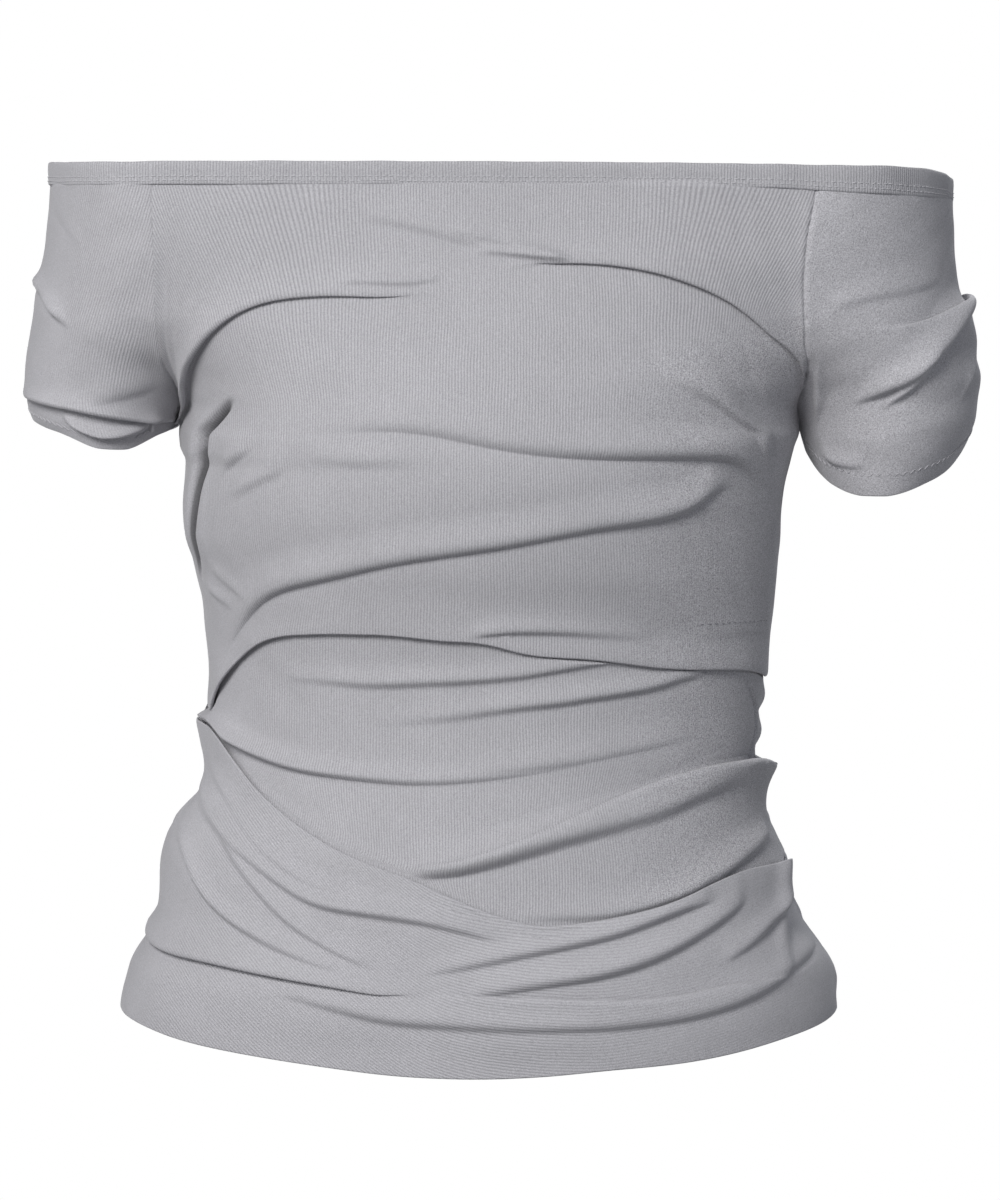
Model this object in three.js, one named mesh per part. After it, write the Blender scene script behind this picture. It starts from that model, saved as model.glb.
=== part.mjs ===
// Off-shoulder draped top in fine rib jersey, in the hollow shape it has when worn, with no wearer.
// Millimetres, +Z up, the front faces -Y. The origin is the middle of the neckline, level with its top edge.
// "right" and "left" are the wearer's, so the right sleeve is at -X.
// Each piece of cloth is a wall: a grid of outer points worked out from the sections and fold lines below,
// and the same grid moved in by the cloth's thickness.
import * as THREE from "three";

// Driving sizes
const clothThickness = 1.2;
const seamGap = 0.35;
const layerGap = 0.6; // between two layers that overlap
const bandHeight = 10.5;
const armpitHeight = -122;
const frontFlatness = 0.84; // power of the cosine in plan: 1 is an ellipse, less is flatter in front
const backFlatness = 0.8;
const tuck = 13; // how far a layer runs on under its neighbour
const colour = { body: 0xb4b5ba, band: 0xb0b1b6 };

// Sections of the body. right, left: half widths at the side seams, or at the armhole seams above the armpit.
// front, back: how far the middle stands from the side plane. arc: half angle of the section's arc, in degrees.
const torsoColumns = ["height", "right", "left", "front", "back", "arc"];
const torsoSections = [
  [6, 154, 142, 86, 92, 56],
  [-15, 154, 139, 88, 94, 56],
  [-36, 153, 135, 91, 96, 57],
  [-56, 152.5, 133.5, 96, 98, 60],
  [-75, 151.5, 134, 102, 99, 65],
  [-88, 149, 136.5, 107, 99, 70],
  [-98, 146, 136.5, 111, 98, 75],
  [-108, 144.5, 135.5, 114, 97, 81],
  [-116, 146.5, 136.5, 115.5, 96, 86],
  [-122, 147.5, 137.5, 116, 95, 90],
  [-129, 147, 135, 116.8, 94, 90],
  [-136, 144.5, 133, 117, 93, 90],
  [-150, 145.3, 130.5, 116, 91, 90],
  [-165, 145.6, 129, 113, 88, 90],
  [-180, 141.6, 128, 109, 84, 90],
  [-195, 138, 127, 104, 80, 90],
  [-210, 136, 125, 99, 77, 90],
  [-230, 134.5, 122.6, 95, 75, 90],
  [-250, 134, 120.5, 94, 75, 90],
  [-270, 134.5, 119.5, 95, 77, 90],
  [-285, 138, 120.5, 98, 80, 90],
  [-298, 146.5, 122.5, 101, 85, 90],
  [-310, 153.5, 128, 104, 90, 90],
  [-325, 156, 135.5, 107, 95, 90],
  [-340, 157, 138.5, 110, 99, 90],
  [-355, 162, 145, 113, 102, 90],
  [-370, 171, 152, 115, 104, 90],
  [-388, 175, 156, 116, 105, 90],
  [-406, 176, 156.5, 116, 105, 90],
];

// Sections of each sleeve. outer: how far out the sleeve reaches. inner: the armhole seam, or the underarm.
// halfDepth: front to back. arc: half angle that the sleeve covers about the arm; 180 closes the tube.
const sleeveColumns = ["height", "outer", "inner", "halfDepth", "arc"];
const rightSleeveSections = [
  [6, 205.5, 154, 79, 90],
  [-15, 206, 154, 78, 91],
  [-36, 208, 153, 76, 95],
  [-56, 212, 152.5, 71, 104],
  [-75, 215, 151.5, 66, 116],
  [-88, 217, 149, 62, 128],
  [-98, 218, 146, 59, 139],
  [-108, 217.5, 144.8, 56, 153],
  [-116, 215, 147.2, 54, 168],
  [-122, 211, 149.8, 52, 180],
  [-135, 203, 156, 47, 180],
];
const leftSleeveSections = [
  [6, 206, 142, 79, 90],
  [-15, 207, 139, 78, 91],
  [-36, 208, 135, 76, 95],
  [-56, 210, 133.5, 71, 104],
  [-75, 216, 134, 67, 116],
  [-88, 218, 136.5, 63, 128],
  [-98, 220.5, 136.5, 60, 139],
  [-108, 219.5, 136.2, 57, 153],
  [-116, 218.5, 137.6, 56, 168],
  [-122, 216.5, 139.6, 55, 180],
  [-135, 211, 141.5, 51, 180],
  [-150, 200, 147, 46, 180],
];
// Height of the cuff's edge round the arm. around: -1 underarm, -0.5 front, 0 outside, 0.5 back, 1 underarm.
const cuffColumns = ["around", "right", "left"];
const cuffEdge = [
  [-1, -119, -132],
  [-0.75, -116, -147],
  [-0.5, -112, -149.5],
  [-0.25, -110, -143],
  [0, -118, -131],
  [0.25, -129, -132],
  [0.5, -133, -134],
  [0.75, -126, -133],
  [1, -119, -132],
];

// Lines across the body that the cloth's rows follow: x and height as seen from the front, and the lift there.
// A lift above 0 raises the cloth above the line over the cloth below it, and one below 0 does the reverse.
const lineColumns = ["x", "height", "lift"];
const yokeFold = [
  [-146, -118, 3], [-140, -100, 7], [-134, -81.5, 7.5], [-123, -70, 5.6], [-109, -62, 4],
  [-95, -58.7, 3.2], [-75, -57.7, 2.8], [-55, -58.4, 1.8], [-40, -58.5, 0.6], [-22, -52, 0.2],
  [-4, -43.8, 0.5], [22, -44, 2.2], [44, -44.2, 3], [66, -47.5, 3.4], [88, -54.5, 3.6],
  [102, -60.5, 3.6], [114, -72, 3.2], [126, -84, 2.8], [136, -92.5, 2],
];
const bustFold = [
  [-145, -141, 0], [-120, -131, 0], [-80, -120, 0.2], [-40, -117.5, 0.8], [-9, -124, 1.6],
  [26, -128.5, 2.2], [53, -130, 2.8], [88, -131, 3.6], [104, -133, 3.4], [113, -140, 2.6],
  [120, -151, 1.6], [129, -163, 0],
];
const ribFold = [
  [-133, -230, 0], [-117, -210, 1.4], [-104, -193.5, 2.4], [-95, -187, 2.8], [-66, -180, 2.7],
  [-40, -174, 2.6], [-3, -168.5, 2.4], [22, -165, 2.4], [45, -161, 2.6], [68, -158, 3],
  [85, -154.5, 3], [96, -150, 1.8], [110, -161, 0], [127, -180, 0],
];
const bodiceEdge = [
  [-132, -252.5, 3], [-130, -244, 4.5], [-126, -238, 5.5], [-119, -226, 5.2], [-107.5, -214, 4.4],
  [-101, -210.5, 3.8], [-85, -208, 3.2], [-66, -207, 3], [-47, -207, 3], [-28, -209, 3.2],
  [-9, -209.5, 3.4], [11, -215.5, 2.8], [40, -218, 2.8], [74, -223.5, 3], [109, -227.5, 2.8],
  [121, -234, 1.6],
];
const hipRoll = [
  [-135, -260, 5], [-128, -260.5, 4.4], [-120, -262.5, 3.6], [-109, -266, 3.4], [-99, -268, 3.2], [-86, -271, 3], [-61, -274, 2.4],
  [-40, -275.5, 1.9], [-21, -274.7, 1.5], [5, -271.7, 0.9], [26, -268.6, 0.3], [60, -262, 0],
  [90, -257, 0], [120, -260, 0],
];
const waistPleat = [
  [-134.5, -270, 0], [-120, -275, 0], [-102, -282, 0], [-78, -295, 0], [-57, -304, 0], [-43, -309, -0.6],
  [-26, -310.5, -1.6], [0, -303, -2.2], [25, -293, -2.4], [51, -282, -2.8], [77, -273.6, -3.4],
  [98, -270, -4.4], [113, -270.5, -6.5], [121, -277, -9.5],
];
const wrapEdge = [
  [-135, -259.5, -5], [-130, -262.5, -4.2], [-124, -267, -3.2], [-114, -278, -2.4], [-102, -288, -2],
  [-91, -294.6, -1.9], [-78, -302, -1.7], [-65, -308, -1.4], [-39, -316.5, -0.8], [-7, -330, -0.4],
  [18, -336.7, -0.4], [44, -334.5, -0.5], [71, -329.6, -0.8], [97, -321, -1.4], [111, -318, -2.4],
  [137, -321, -2.6],
];
const hemRoll = [
  [-161, -352.5, 2.4], [-150, -357, 3.4], [-128, -358, 4], [-107, -360, 3.8], [-87, -362, 3.4], [-67, -364, 2.6],
  [-47, -366.5, 1], [-21, -366, -0.8], [-8, -367, -1.8], [25, -368, -2.8], [58, -369.6, -3],
  [77, -369, -2.8], [104, -366, -1.8], [119, -366, -0.8], [148, -358, 0],
];
const hemEdge = [
  [-175, -387.5, 0], [-165, -389.5, 0], [-143, -393, 0], [-111, -396, 0], [-75, -399.2, 0],
  [-44, -401.8, 0], [-13, -402.6, 0], [26, -401.2, 0], [44, -399.6, 0], [80, -398, 0], [107, -395.3, 0],
  [130, -391.8, 0], [145, -389.6, 0], [156, -387, 0],
];

// Softer folds across the front: the trough's line, and how high the ridge above it stands. reach is the fold's width.
const bodiceFolds = [
  { reach: 5, line: [[-126, -140, 0], [-119, -134, 0.9], [-111, -128, 0]] },
  { reach: 5.5, line: [[-125, -151, 0], [-112, -143, 1], [-98, -136.5, 0]] },
  { reach: 7, line: [[-86, -132, 0], [-60, -133, 0.5], [-30, -132, 0]] },
  { reach: 4.5, line: [[-134, -185, 0], [-126, -191, 0.8], [-117, -197.5, 0]] },
  { reach: 4.5, line: [[-125, -184, 0], [-118, -189, 0.7], [-110, -195, 0]] },
  { reach: 5, line: [[-12, -209, 0], [4, -206.5, 1.3], [23, -207, 1.2], [45, -209, 0.8], [64, -211.5, 0]] },
  { reach: 9, line: [[70, -99, 0], [88, -107, 1.2], [103, -119, 2], [115, -133, 2.2], [124, -149, 1.4], [128, -165, 0]] },
  { reach: 6, line: [[84, -212, 0], [100, -213, 1], [118, -214, 0.9], [123, -215, 0.4]] },
  { reach: 5, line: [[-60, -36, 0], [-30, -38, 0.5], [0, -37, 0.4], [30, -39, 0]] },
];
const waistFolds = [
  { reach: 6, line: [[-100, -231, 0], [-79, -231, 1], [-58, -232.5, 1.7], [-40, -231.5, 1.9], [-15, -230, 1.9], [10, -227.5, 1.7], [44, -222, 1.5], [66, -220, 0.8], [80, -220, 0]] },
  { reach: 6.5, line: [[-34, -249, 0], [-15, -245.5, 0.8], [4, -242.5, 1.6], [23, -240.5, 1.9], [44, -237.6, 2], [57, -236, 2.1], [74, -233, 1.9], [86, -230, 0.8], [94, -230, 0]] },
  { reach: 8, line: [[-40, -313, 0], [-28, -316, 2.6], [0, -310, 3.2], [25, -303, 3], [51, -296.5, 2.6], [71, -292, 2.4], [90, -285, 2], [106, -281, 0.8], [116, -284, 0]] },
  { reach: 8, line: [[0, -334, 0], [44, -337, 1.4], [71, -333, 2], [97, -324, 2.4], [113, -318, 2], [124, -312, 1]] },
];
const wrapFolds = [
  { reach: 6, line: [[-28, -357, 0], [-14, -355, 1], [0, -352, 1.8], [25, -347.5, 2.2], [51, -342.5, 2.4], [81, -332, 2.4], [95, -326, 1.8], [112, -320, 0]] },
  { reach: 7, line: [[-6, -367, 0], [19, -363, 1.4], [38, -362, 2.4], [58, -358, 2.6], [77, -353, 2.4], [97, -347, 2], [108, -341.5, 1.6], [118, -335, 0]] },
  { reach: 6.5, line: [[-98, -370, 0], [-90, -371, 0.8], [-68, -374.5, 1.4], [-47, -379, 1.7], [-26, -380, 1.7], [0, -381.5, 1.6], [38, -382, 1.6], [77, -380, 1.8], [104, -377, 2], [119, -377, 2], [134, -372, 1.4], [148, -366, 0]] },
  { reach: 5, line: [[-137, -290, 0], [-132, -299, 1], [-120, -306, 1.5], [-107, -315.5, 1.8], [-93, -325, 2], [-81, -330, 2.3], [-60, -332, 2.3], [-34, -335, 2], [-15, -339, 1.6], [2, -343, 0]] },
  { reach: 5, line: [[-146, -303, 0], [-143, -312, 1.2], [-138, -323, 1.8], [-128, -335, 2], [-116, -342, 2], [-106, -347, 1.8], [-87, -353, 1.2], [-68, -358, 0]] },
  { reach: 4.5, line: [[-137, -283, 0], [-127, -302, 1], [-111, -322, 1.4], [-95, -338, 1.6], [-73, -349, 1.4], [-56, -356, 0]] },
  { reach: 6, line: [[100, -357, 0], [115, -352, 1.4], [130, -341, 1.8], [139, -330, 0.8]] },
];

// Gathers across the back. right, middle, left: heights of the trough at the seams and the middle.
// seamLift and middleLift: the ridge's height at the seams and in the middle.
const backColumns = ["right", "middle", "left", "reach", "seamLift", "middleLift"];
const backFolds = [
  [-70, -52, -66, 8, 0, 1],
  [-146, -128, -150, 8, 1.2, 2],
  [-160, -152, -164, 7, 1.4, 1.6],
  [-175, -180, -178, 7, 1.2, 2.2],
  [-190, -201, -192, 6, 1.4, 1.6],
  [-205, -217, -206, 6, 1.6, 2.2],
  [-222, -236, -221, 6, 2, 1.8],
  [-238, -252, -238, 5.5, 2.4, 2.2],
  [-254, -270, -254, 5.5, 2.6, 2],
  [-270, -288, -272, 6, 2.6, 2.4],
  [-289, -306, -288, 6.5, 2.4, 2],
  [-307, -327, -306, 7, 3, 2.6],
  [-328, -350, -326, 7.5, 2.8, 2.2],
  [-352, -374, -350, 7.5, 2.4, 1.8],
];

// Folds round the sleeves, by the same "around" as the cuffs. lift as on the body's lines.
const rightSleeveFolds = [
  { reach: 5, line: [[-0.3, -88, 0], [-0.2, -79, 1.3], [-0.1, -72, 1.7], [0, -64, 1.8], [0.12, -62, 1.4], [0.3, -66, 0]] },
  { reach: 6, line: [[-0.9, -113, 0], [-0.75, -104, 1.6], [-0.6, -100, 1.8], [-0.45, -102, 1], [-0.3, -104, 0]] },
  { reach: 6, line: [[0.2, -88, 0], [0.4, -82, 1.5], [0.6, -84, 1.5], [0.8, -94, 0]] },
];
const leftSleeveFolds = [
  { reach: 7, line: [[-0.66, -98, 0], [-0.52, -94, 1.6], [-0.36, -87, 2.2], [-0.2, -80, 2.6], [-0.05, -74, 2], [0.1, -76, 0]] },
  { reach: 5, line: [[-0.55, -109, 0], [-0.45, -104, 1], [-0.36, -99, 1.2], [-0.25, -93, 0]] },
  { reach: 5, line: [[-0.98, -98, 0], [-0.92, -108, 1.2], [-0.88, -118, 1.2], [-0.84, -126, 0]] },
  { reach: 6, line: [[0.2, -92, 0], [0.4, -88, 1.5], [0.6, -92, 1.5], [0.8, -102, 0]] },
];
const leftSleeveFlap = [
  [-1, -76, 0], [-0.78, -71.5, 0], [-0.66, -72.7, -0.5], [-0.52, -71.4, -1.4], [-0.355, -67, -2.6],
  [-0.165, -63, -4.2], [0, -61.5, -5], [0.25, -66, -2.4], [0.5, -72, 0], [1, -79, 0],
];

// A smooth function through points with rising x, with no overshoot, flat beyond its ends.
function smooth(xs, ys) {
  const n = xs.length;
  const slope = [];
  for (let i = 0; i < n - 1; i++) slope.push((ys[i + 1] - ys[i]) / (xs[i + 1] - xs[i]));
  const tangent = ys.map((_, i) => {
    const before = slope[i - 1];
    const after = slope[i];
    if (i === 0 || i === n - 1) return before ?? after;
    return before * after > 0 ? (2 * before * after) / (before + after) : 0;
  });
  return (x) => {
    if (x <= xs[0]) return ys[0];
    if (x >= xs[n - 1]) return ys[n - 1];
    let i = 0;
    while (x > xs[i + 1]) i++;
    const h = xs[i + 1] - xs[i];
    const t = (x - xs[i]) / h;
    const a = (1 + 2 * t) * (1 - t) * (1 - t);
    const b = t * (1 - t) * (1 - t) * h;
    const c = t * t * (3 - 2 * t);
    const d = t * t * (t - 1) * h;
    return a * ys[i] + b * tangent[i] + c * ys[i + 1] + d * tangent[i + 1];
  };
}

// A table as one smooth function for each named column, over its first column.
function table(columns, rows) {
  const ordered = [...rows].sort((p, q) => p[0] - q[0]);
  const over = ordered.map((row) => row[0]);
  return Object.fromEntries(
    columns.slice(1).map((name, k) => [name, smooth(over, ordered.map((row) => row[k + 1]))]),
  );
}

const torso = table(torsoColumns, torsoSections);
const sleeves = {
  right: table(sleeveColumns, rightSleeveSections),
  left: table(sleeveColumns, leftSleeveSections),
};
const cuffs = table(cuffColumns, cuffEdge);
const radians = THREE.MathUtils.degToRad;
const smoothstep = THREE.MathUtils.smoothstep;

// The neckline's top edge is level, but for a drop over the left shoulder.
const necklineDrop = 6;
const neckline = (x) => -necklineDrop * smoothstep(x, 168, 212);

// How far the armhole seam stands in front of the side plane, or behind it.
function seamDepth(side, z) {
  const arm = sleeves[side];
  return z <= armpitHeight ? 0 : arm.halfDepth(z) * Math.sin(radians(arm.arc(z)));
}

// A point of the body's smooth surface. facing is -1 for the front and 1 for the back; across runs from
// -1 at the right seam to 1 at the left seam.
function torsoPoint(facing, across, z) {
  const side = across < 0 ? "right" : "left";
  const arc = radians(torso.arc(z));
  const angle = across * arc;
  const power = facing < 0 ? frontFlatness : backFlatness;
  const ends = Math.max(Math.cos(arc), 0) ** power;
  const bulge = (Math.max(Math.cos(angle), 0) ** power - ends) / (1 - ends);
  const seam = seamDepth(side, z);
  const middle = facing < 0 ? torso.front(z) : torso.back(z);
  const x = (torso[side](z) * Math.sin(angle)) / Math.sin(arc);
  return new THREE.Vector3(x, facing * (seam + (middle - seam) * bulge), z);
}

// A point of a sleeve's smooth surface, around as in the cuffs' table.
function sleevePoint(side, around, z) {
  const arm = sleeves[side];
  const arc = radians(arm.arc(z));
  const radius = (arm.outer(z) - arm.inner(z)) / (1 - Math.cos(arc));
  const out = side === "right" ? -1 : 1;
  const angle = around * arc;
  const x = arm.outer(z) - radius + radius * Math.cos(angle);
  return new THREE.Vector3(out * x, arm.halfDepth(z) * Math.sin(angle), z);
}

// The outward normal of a smooth surface, by small steps. Columns run left to right as seen from outside.
function normalOf(surface, column, z) {
  const step = 0.004;
  const from = Math.max(-1, column - step);
  const to = Math.min(1, column + step);
  const acrossIt = surface(to, z).sub(surface(from, z));
  const downIt = surface(column, z - 1).sub(surface(column, z + 1));
  return downIt.cross(acrossIt).normalize();
}

// The direction in which both pieces at a seam take their thickness: halfway between their normals.
// Its length says how far each piece keeps to it. In the fold of the armpit each keeps to its own normal.
function seamDirection(side, facing, z) {
  const out = side === "right" ? -1 : 1;
  if (z <= armpitHeight) return new THREE.Vector3(out, 0, 0);
  const body = (column, h) => torsoPoint(facing, facing < 0 ? column : -column, h);
  const arm = (column, h) => sleevePoint(side, out * column, h);
  const bodyEdge = facing < 0 ? out : -out;
  const halfway = normalOf(body, bodyEdge, z).add(normalOf(arm, out * facing, z)).normalize();
  return halfway.multiplyScalar(smoothstep(z, -104, -72));
}
// Folds die out towards an armhole seam, above the armpit.
function seamFade(column, z, unit) {
  const low = smoothstep(z, armpitHeight - 14, armpitHeight);
  return 1 - low * (1 - smoothstep((1 - Math.abs(column)) * unit, 0, 9));
}

// A line of the tables as height and lift over "across", found on the front from the x of each point.
function frontLine(rows) {
  const points = rows.map(([x, z, lift]) => {
    const side = x < 0 ? "right" : "left";
    const arc = radians(torso.arc(z));
    const share = Math.min(1, (Math.abs(x) / torso[side](z)) * Math.sin(arc));
    return [(Math.sign(x) * Math.asin(share)) / arc, z, lift];
  });
  points.sort((p, q) => p[0] - q[0]);
  const at = points.map((p, i) => (i && p[0] - points[i - 1][0] < 1e-3 ? points[i - 1][0] + 1e-3 : p[0]));
  return {
    height: smooth(at, points.map((p) => p[1])),
    lift: smooth(at, points.map((p) => p[2])),
    from: at[0],
    to: at[at.length - 1],
  };
}
const aroundLine = (rows) => ({
  ...table(["around", "height", "lift"], rows),
  from: rows[0][0],
  to: rows[rows.length - 1][0],
});

// Distance above a line, square to it, where one unit of the column is about this many millimetres.
function above(line, column, z, unit) {
  const step = 0.01;
  const slope = (line.height(column + step) - line.height(column - step)) / (2 * step * unit);
  return (z - line.height(column)) / Math.hypot(1, slope);
}

const frontUnit = 185; // millimetres across the body for one unit of "across"
const sleeveUnit = 130; // millimetres round the arm for one unit of "around"

// A soft fold: a ridge, and a narrower trough below it on the line.
function softFold(fold, column, z, unit) {
  if (column < fold.line.from || column > fold.line.to) return 0;
  const d = above(fold.line, column, z, unit) / fold.reach;
  return fold.line.lift(column) * (Math.exp(-((d - 1) ** 2)) - 0.8 * Math.exp(-((d / 0.7) ** 2)));
}

// A turned edge: the raised side stands by the lift at the line and falls back over the reach.
// The other side is a groove.
function turnedFold(line, reach, column, z, unit) {
  const lift = line.lift(column);
  const d = above(line, column, z, unit) * Math.sign(lift || 1);
  const size = Math.abs(lift);
  if (d >= 0) return size / (1 + (d / reach) ** 2);
  return -0.3 * size * Math.exp(d / (0.7 * reach));
}

const folds = (list, makeLine) => list.map((fold) => ({ ...fold, line: makeLine(fold.line) }));
const yokeLine = frontLine(yokeFold);
const bustLine = { reach: 8, line: frontLine(bustFold) };
const ribLine = { reach: 7.5, line: frontLine(ribFold) };
const bodiceLine = frontLine(bodiceEdge);
const rollLine = { reach: 4, line: frontLine(hipRoll) };
const pleatLine = frontLine(waistPleat);
const wrapLine = frontLine(wrapEdge);
const hemRollLine = frontLine(hemRoll);
const hemLine = frontLine(hemEdge);
const bodiceSoft = folds(bodiceFolds, frontLine);
const waistSoft = folds(waistFolds, frontLine);
const wrapSoft = folds(wrapFolds, frontLine);

const sum = (list, value) => list.reduce((total, item) => total + value(item), 0);

// The upright fold under the right arm, a groove between the front and a roll along the seam.
const sideGroove = {
  across: smooth([-178, -165, -153, -137, -122, -107], [-0.9, -0.86, -0.83, -0.78, -0.715, -0.63]),
  depth: smooth([-182, -168, -150, -130, -112, -104], [0, 2.4, 4, 3.8, 2, 0]),
};
function grooveLift(across, z) {
  const d = (across - sideGroove.across(z)) * frontUnit;
  return -sideGroove.depth(z) * Math.exp(-((d / 5) ** 2)) + 0.35 * sideGroove.depth(z) * Math.exp(-(((d + 12) / 8) ** 2));
}

// Lifts of the layers of the front, at any place of the front
function bodiceLift(across, z) {
  const edge = Math.max(0, above(bodiceLine, across, z, frontUnit));
  const lift =
    turnedFold(yokeLine, 7, across, z, frontUnit) +
    softFold(bustLine, across, z, frontUnit) +
    softFold(ribLine, across, z, frontUnit) +
    sum(bodiceSoft, (fold) => softFold(fold, across, z, frontUnit)) +
    grooveLift(across, z) +
    bodiceLine.lift(across) / (1 + (edge / 9) ** 2);
  return lift * seamFade(across, z, frontUnit);
}
function wrapLift(across, z) {
  const edge = Math.max(0, -above(wrapLine, across, z, frontUnit));
  return (
    1 -
    wrapLine.lift(across) / (1 + (edge / 8) ** 2) +
    turnedFold(hemRollLine, 7, across, z, frontUnit) +
    sum(wrapSoft, (fold) => softFold(fold, across, z, frontUnit))
  );
}
function waistLift(across, z) {
  const free =
    softFold(rollLine, across, z, frontUnit) * 1.2 +
    turnedFold(pleatLine, 9, across, z, frontUnit) +
    sum(waistSoft, (fold) => softFold(fold, across, z, frontUnit)) -
    0.4;
  const belowBodice = above(bodiceLine, across, z, frontUnit);
  const belowWrap = -above(wrapLine, across, z, frontUnit);
  const room = clothThickness + layerGap;
  const underBodice = bodiceLift(across, Math.max(z, bodiceLine.height(across))) - room;
  const underWrap = wrapLift(across, Math.min(z, wrapLine.height(across))) - room;
  const release = 5; // the cloth comes out from under its neighbour over this distance
  const a = Math.min(free, underBodice + Math.max(0, -belowBodice - 1) * (room / release) * 2);
  return Math.min(a, underWrap + Math.max(0, -belowWrap - 1) * (room / release) * 2);
}

// Lift of the back. Its gathers run into those of the front at the side seams.
const backTroughs = backFolds.map((row) => {
  const fold = Object.fromEntries(backColumns.map((name, k) => [name, row[k]]));
  return {
    reach: fold.reach,
    line: {
      height: smooth([-1, 0, 1], [fold.right, fold.middle, fold.left]),
      lift: smooth([-1, -0.55, 0, 0.55, 1], [fold.seamLift, fold.middleLift * 0.7, fold.middleLift, fold.middleLift * 0.7, fold.seamLift]),
      from: -1,
      to: 1,
    },
  };
});
function sideSeamLift(across, z) {
  const layer = z > bodiceLine.height(across) ? bodiceLift : z > wrapLine.height(across) ? waistLift : wrapLift;
  return layer(across, z);
}
function backLift(across, z) {
  const own = seamFade(across, z, frontUnit) * sum(backTroughs, (fold) => softFold(fold, across, z, frontUnit));
  const inside = smoothstep((1 - Math.abs(across)) * frontUnit, 0, 32);
  return own * inside + sideSeamLift(Math.sign(across) || 1, z) * (1 - inside);
}

// Sleeve lifts
const flapLine = aroundLine(leftSleeveFlap);
const sleeveSoft = {
  right: folds(rightSleeveFolds, aroundLine),
  left: folds(leftSleeveFolds, aroundLine),
};
function sleeveLift(side, around, z) {
  const soft = sum(sleeveSoft[side], (fold) => softFold(fold, around, z, sleeveUnit));
  const flap = side === "left" ? turnedFold(flapLine, 8, around, z, sleeveUnit) : 0;
  return (soft + flap) * seamFade(around, z, sleeveUnit);
}

// Heights of a piece's rows at one column, between the lines that the rows follow. Rows crowd towards the lines.
// counts: the rows in each interval. Two rows stand either side of a line that is a turned edge.
const turnHalf = 0.45;
function rowHeights(lines, counts, column) {
  const heights = [];
  for (let k = 0; k < counts.length; k++) {
    const top = lines[k].height(column) - (lines[k].turned ? turnHalf : 0);
    const bottom = lines[k + 1].height(column) + (lines[k + 1].turned ? turnHalf : 0);
    const first = k === 0 || lines[k].turned ? 0 : 1;
    for (let i = first; i <= counts[k]; i++) {
      const share = 0.35 * (i / counts[k]) + 0.65 * 0.5 * (1 - Math.cos((Math.PI * i) / counts[k]));
      heights.push(top + (bottom - top) * share);
    }
  }
  return heights;
}

// Outer points of a piece: rows from top to bottom, columns left to right as seen from outside.
function outerPoints({ surface, lift, lines, counts, columns, from, to }) {
  const grid = [];
  for (let j = 0; j <= columns; j++) {
    const column = from + ((to - from) * j) / columns;
    rowHeights(lines, counts, column).forEach((z, i) => {
      const normal = normalOf(surface, column, z);
      grid[i] ??= [];
      grid[i][j] = surface(column, z).addScaledVector(normal, lift(column, z));
    });
  }
  return grid;
}

// A closed wall: the outer grid, the same grid moved in, and a strip round the four sides.
// edges: the seams' directions at the first and the last column, as functions of height.
function wall(name, grid, thickness, paint, edges) {
  const rows = grid.length;
  const columns = grid[0].length;
  // The unit normal of the cell below and to the right of a point, or none beyond the grid.
  const cellNormal = (i, j) => {
    if (i < 0 || j < 0 || i >= rows - 1 || j >= columns - 1) return new THREE.Vector3();
    const down = grid[i + 1][j + 1].clone().sub(grid[i][j]);
    const over = grid[i][j + 1].clone().sub(grid[i + 1][j]);
    return down.cross(over).normalize();
  };
  const positions = [];
  grid.forEach((row) => row.forEach((p) => positions.push(p.x, p.y, p.z)));
  grid.forEach((row, i) =>
    row.forEach((p, j) => {
      const own = cellNormal(i, j).add(cellNormal(i - 1, j)).add(cellNormal(i, j - 1));
      own.add(cellNormal(i - 1, j - 1)).normalize();
      const edge = j === 0 ? edges[0] : j === columns - 1 ? edges[1] : null;
      const seam = edge ? edge(p.z) : new THREE.Vector3();
      const normal = own.multiplyScalar(1 - seam.length()).add(seam).normalize();
      const inner = p.clone().addScaledVector(normal, -thickness);
      positions.push(inner.x, inner.y, inner.z);
    }),
  );
  const outer = (i, j) => i * columns + j;
  const inner = (i, j) => rows * columns + i * columns + j;
  const faces = [];
  const quad = (a, b, c, d) => faces.push(a, b, c, a, c, d);
  for (let i = 0; i < rows - 1; i++)
    for (let j = 0; j < columns - 1; j++) {
      quad(outer(i, j), outer(i + 1, j), outer(i + 1, j + 1), outer(i, j + 1));
      quad(inner(i, j), inner(i, j + 1), inner(i + 1, j + 1), inner(i + 1, j));
    }
  const rim = [];
  for (let j = 0; j < columns - 1; j++) rim.push([0, j]);
  for (let i = 0; i < rows - 1; i++) rim.push([i, columns - 1]);
  for (let j = columns - 1; j > 0; j--) rim.push([rows - 1, j]);
  for (let i = rows - 1; i > 0; i--) rim.push([i, 0]);
  rim.forEach((here, k) => {
    const next = rim[(k + 1) % rim.length];
    quad(outer(...here), outer(...next), inner(...next), inner(...here));
  });
  return piece(name, positions, faces, paint);
}

function piece(name, positions, faces, paint) {
  const geometry = new THREE.BufferGeometry();
  geometry.setAttribute("position", new THREE.Float32BufferAttribute(positions, 3));
  geometry.setIndex(faces);
  geometry.computeVertexNormals();
  const material = new THREE.MeshStandardMaterial({ color: paint, roughness: 0.9, metalness: 0 });
  const mesh = new THREE.Mesh(geometry, material);
  mesh.name = name;
  return mesh;
}

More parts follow.
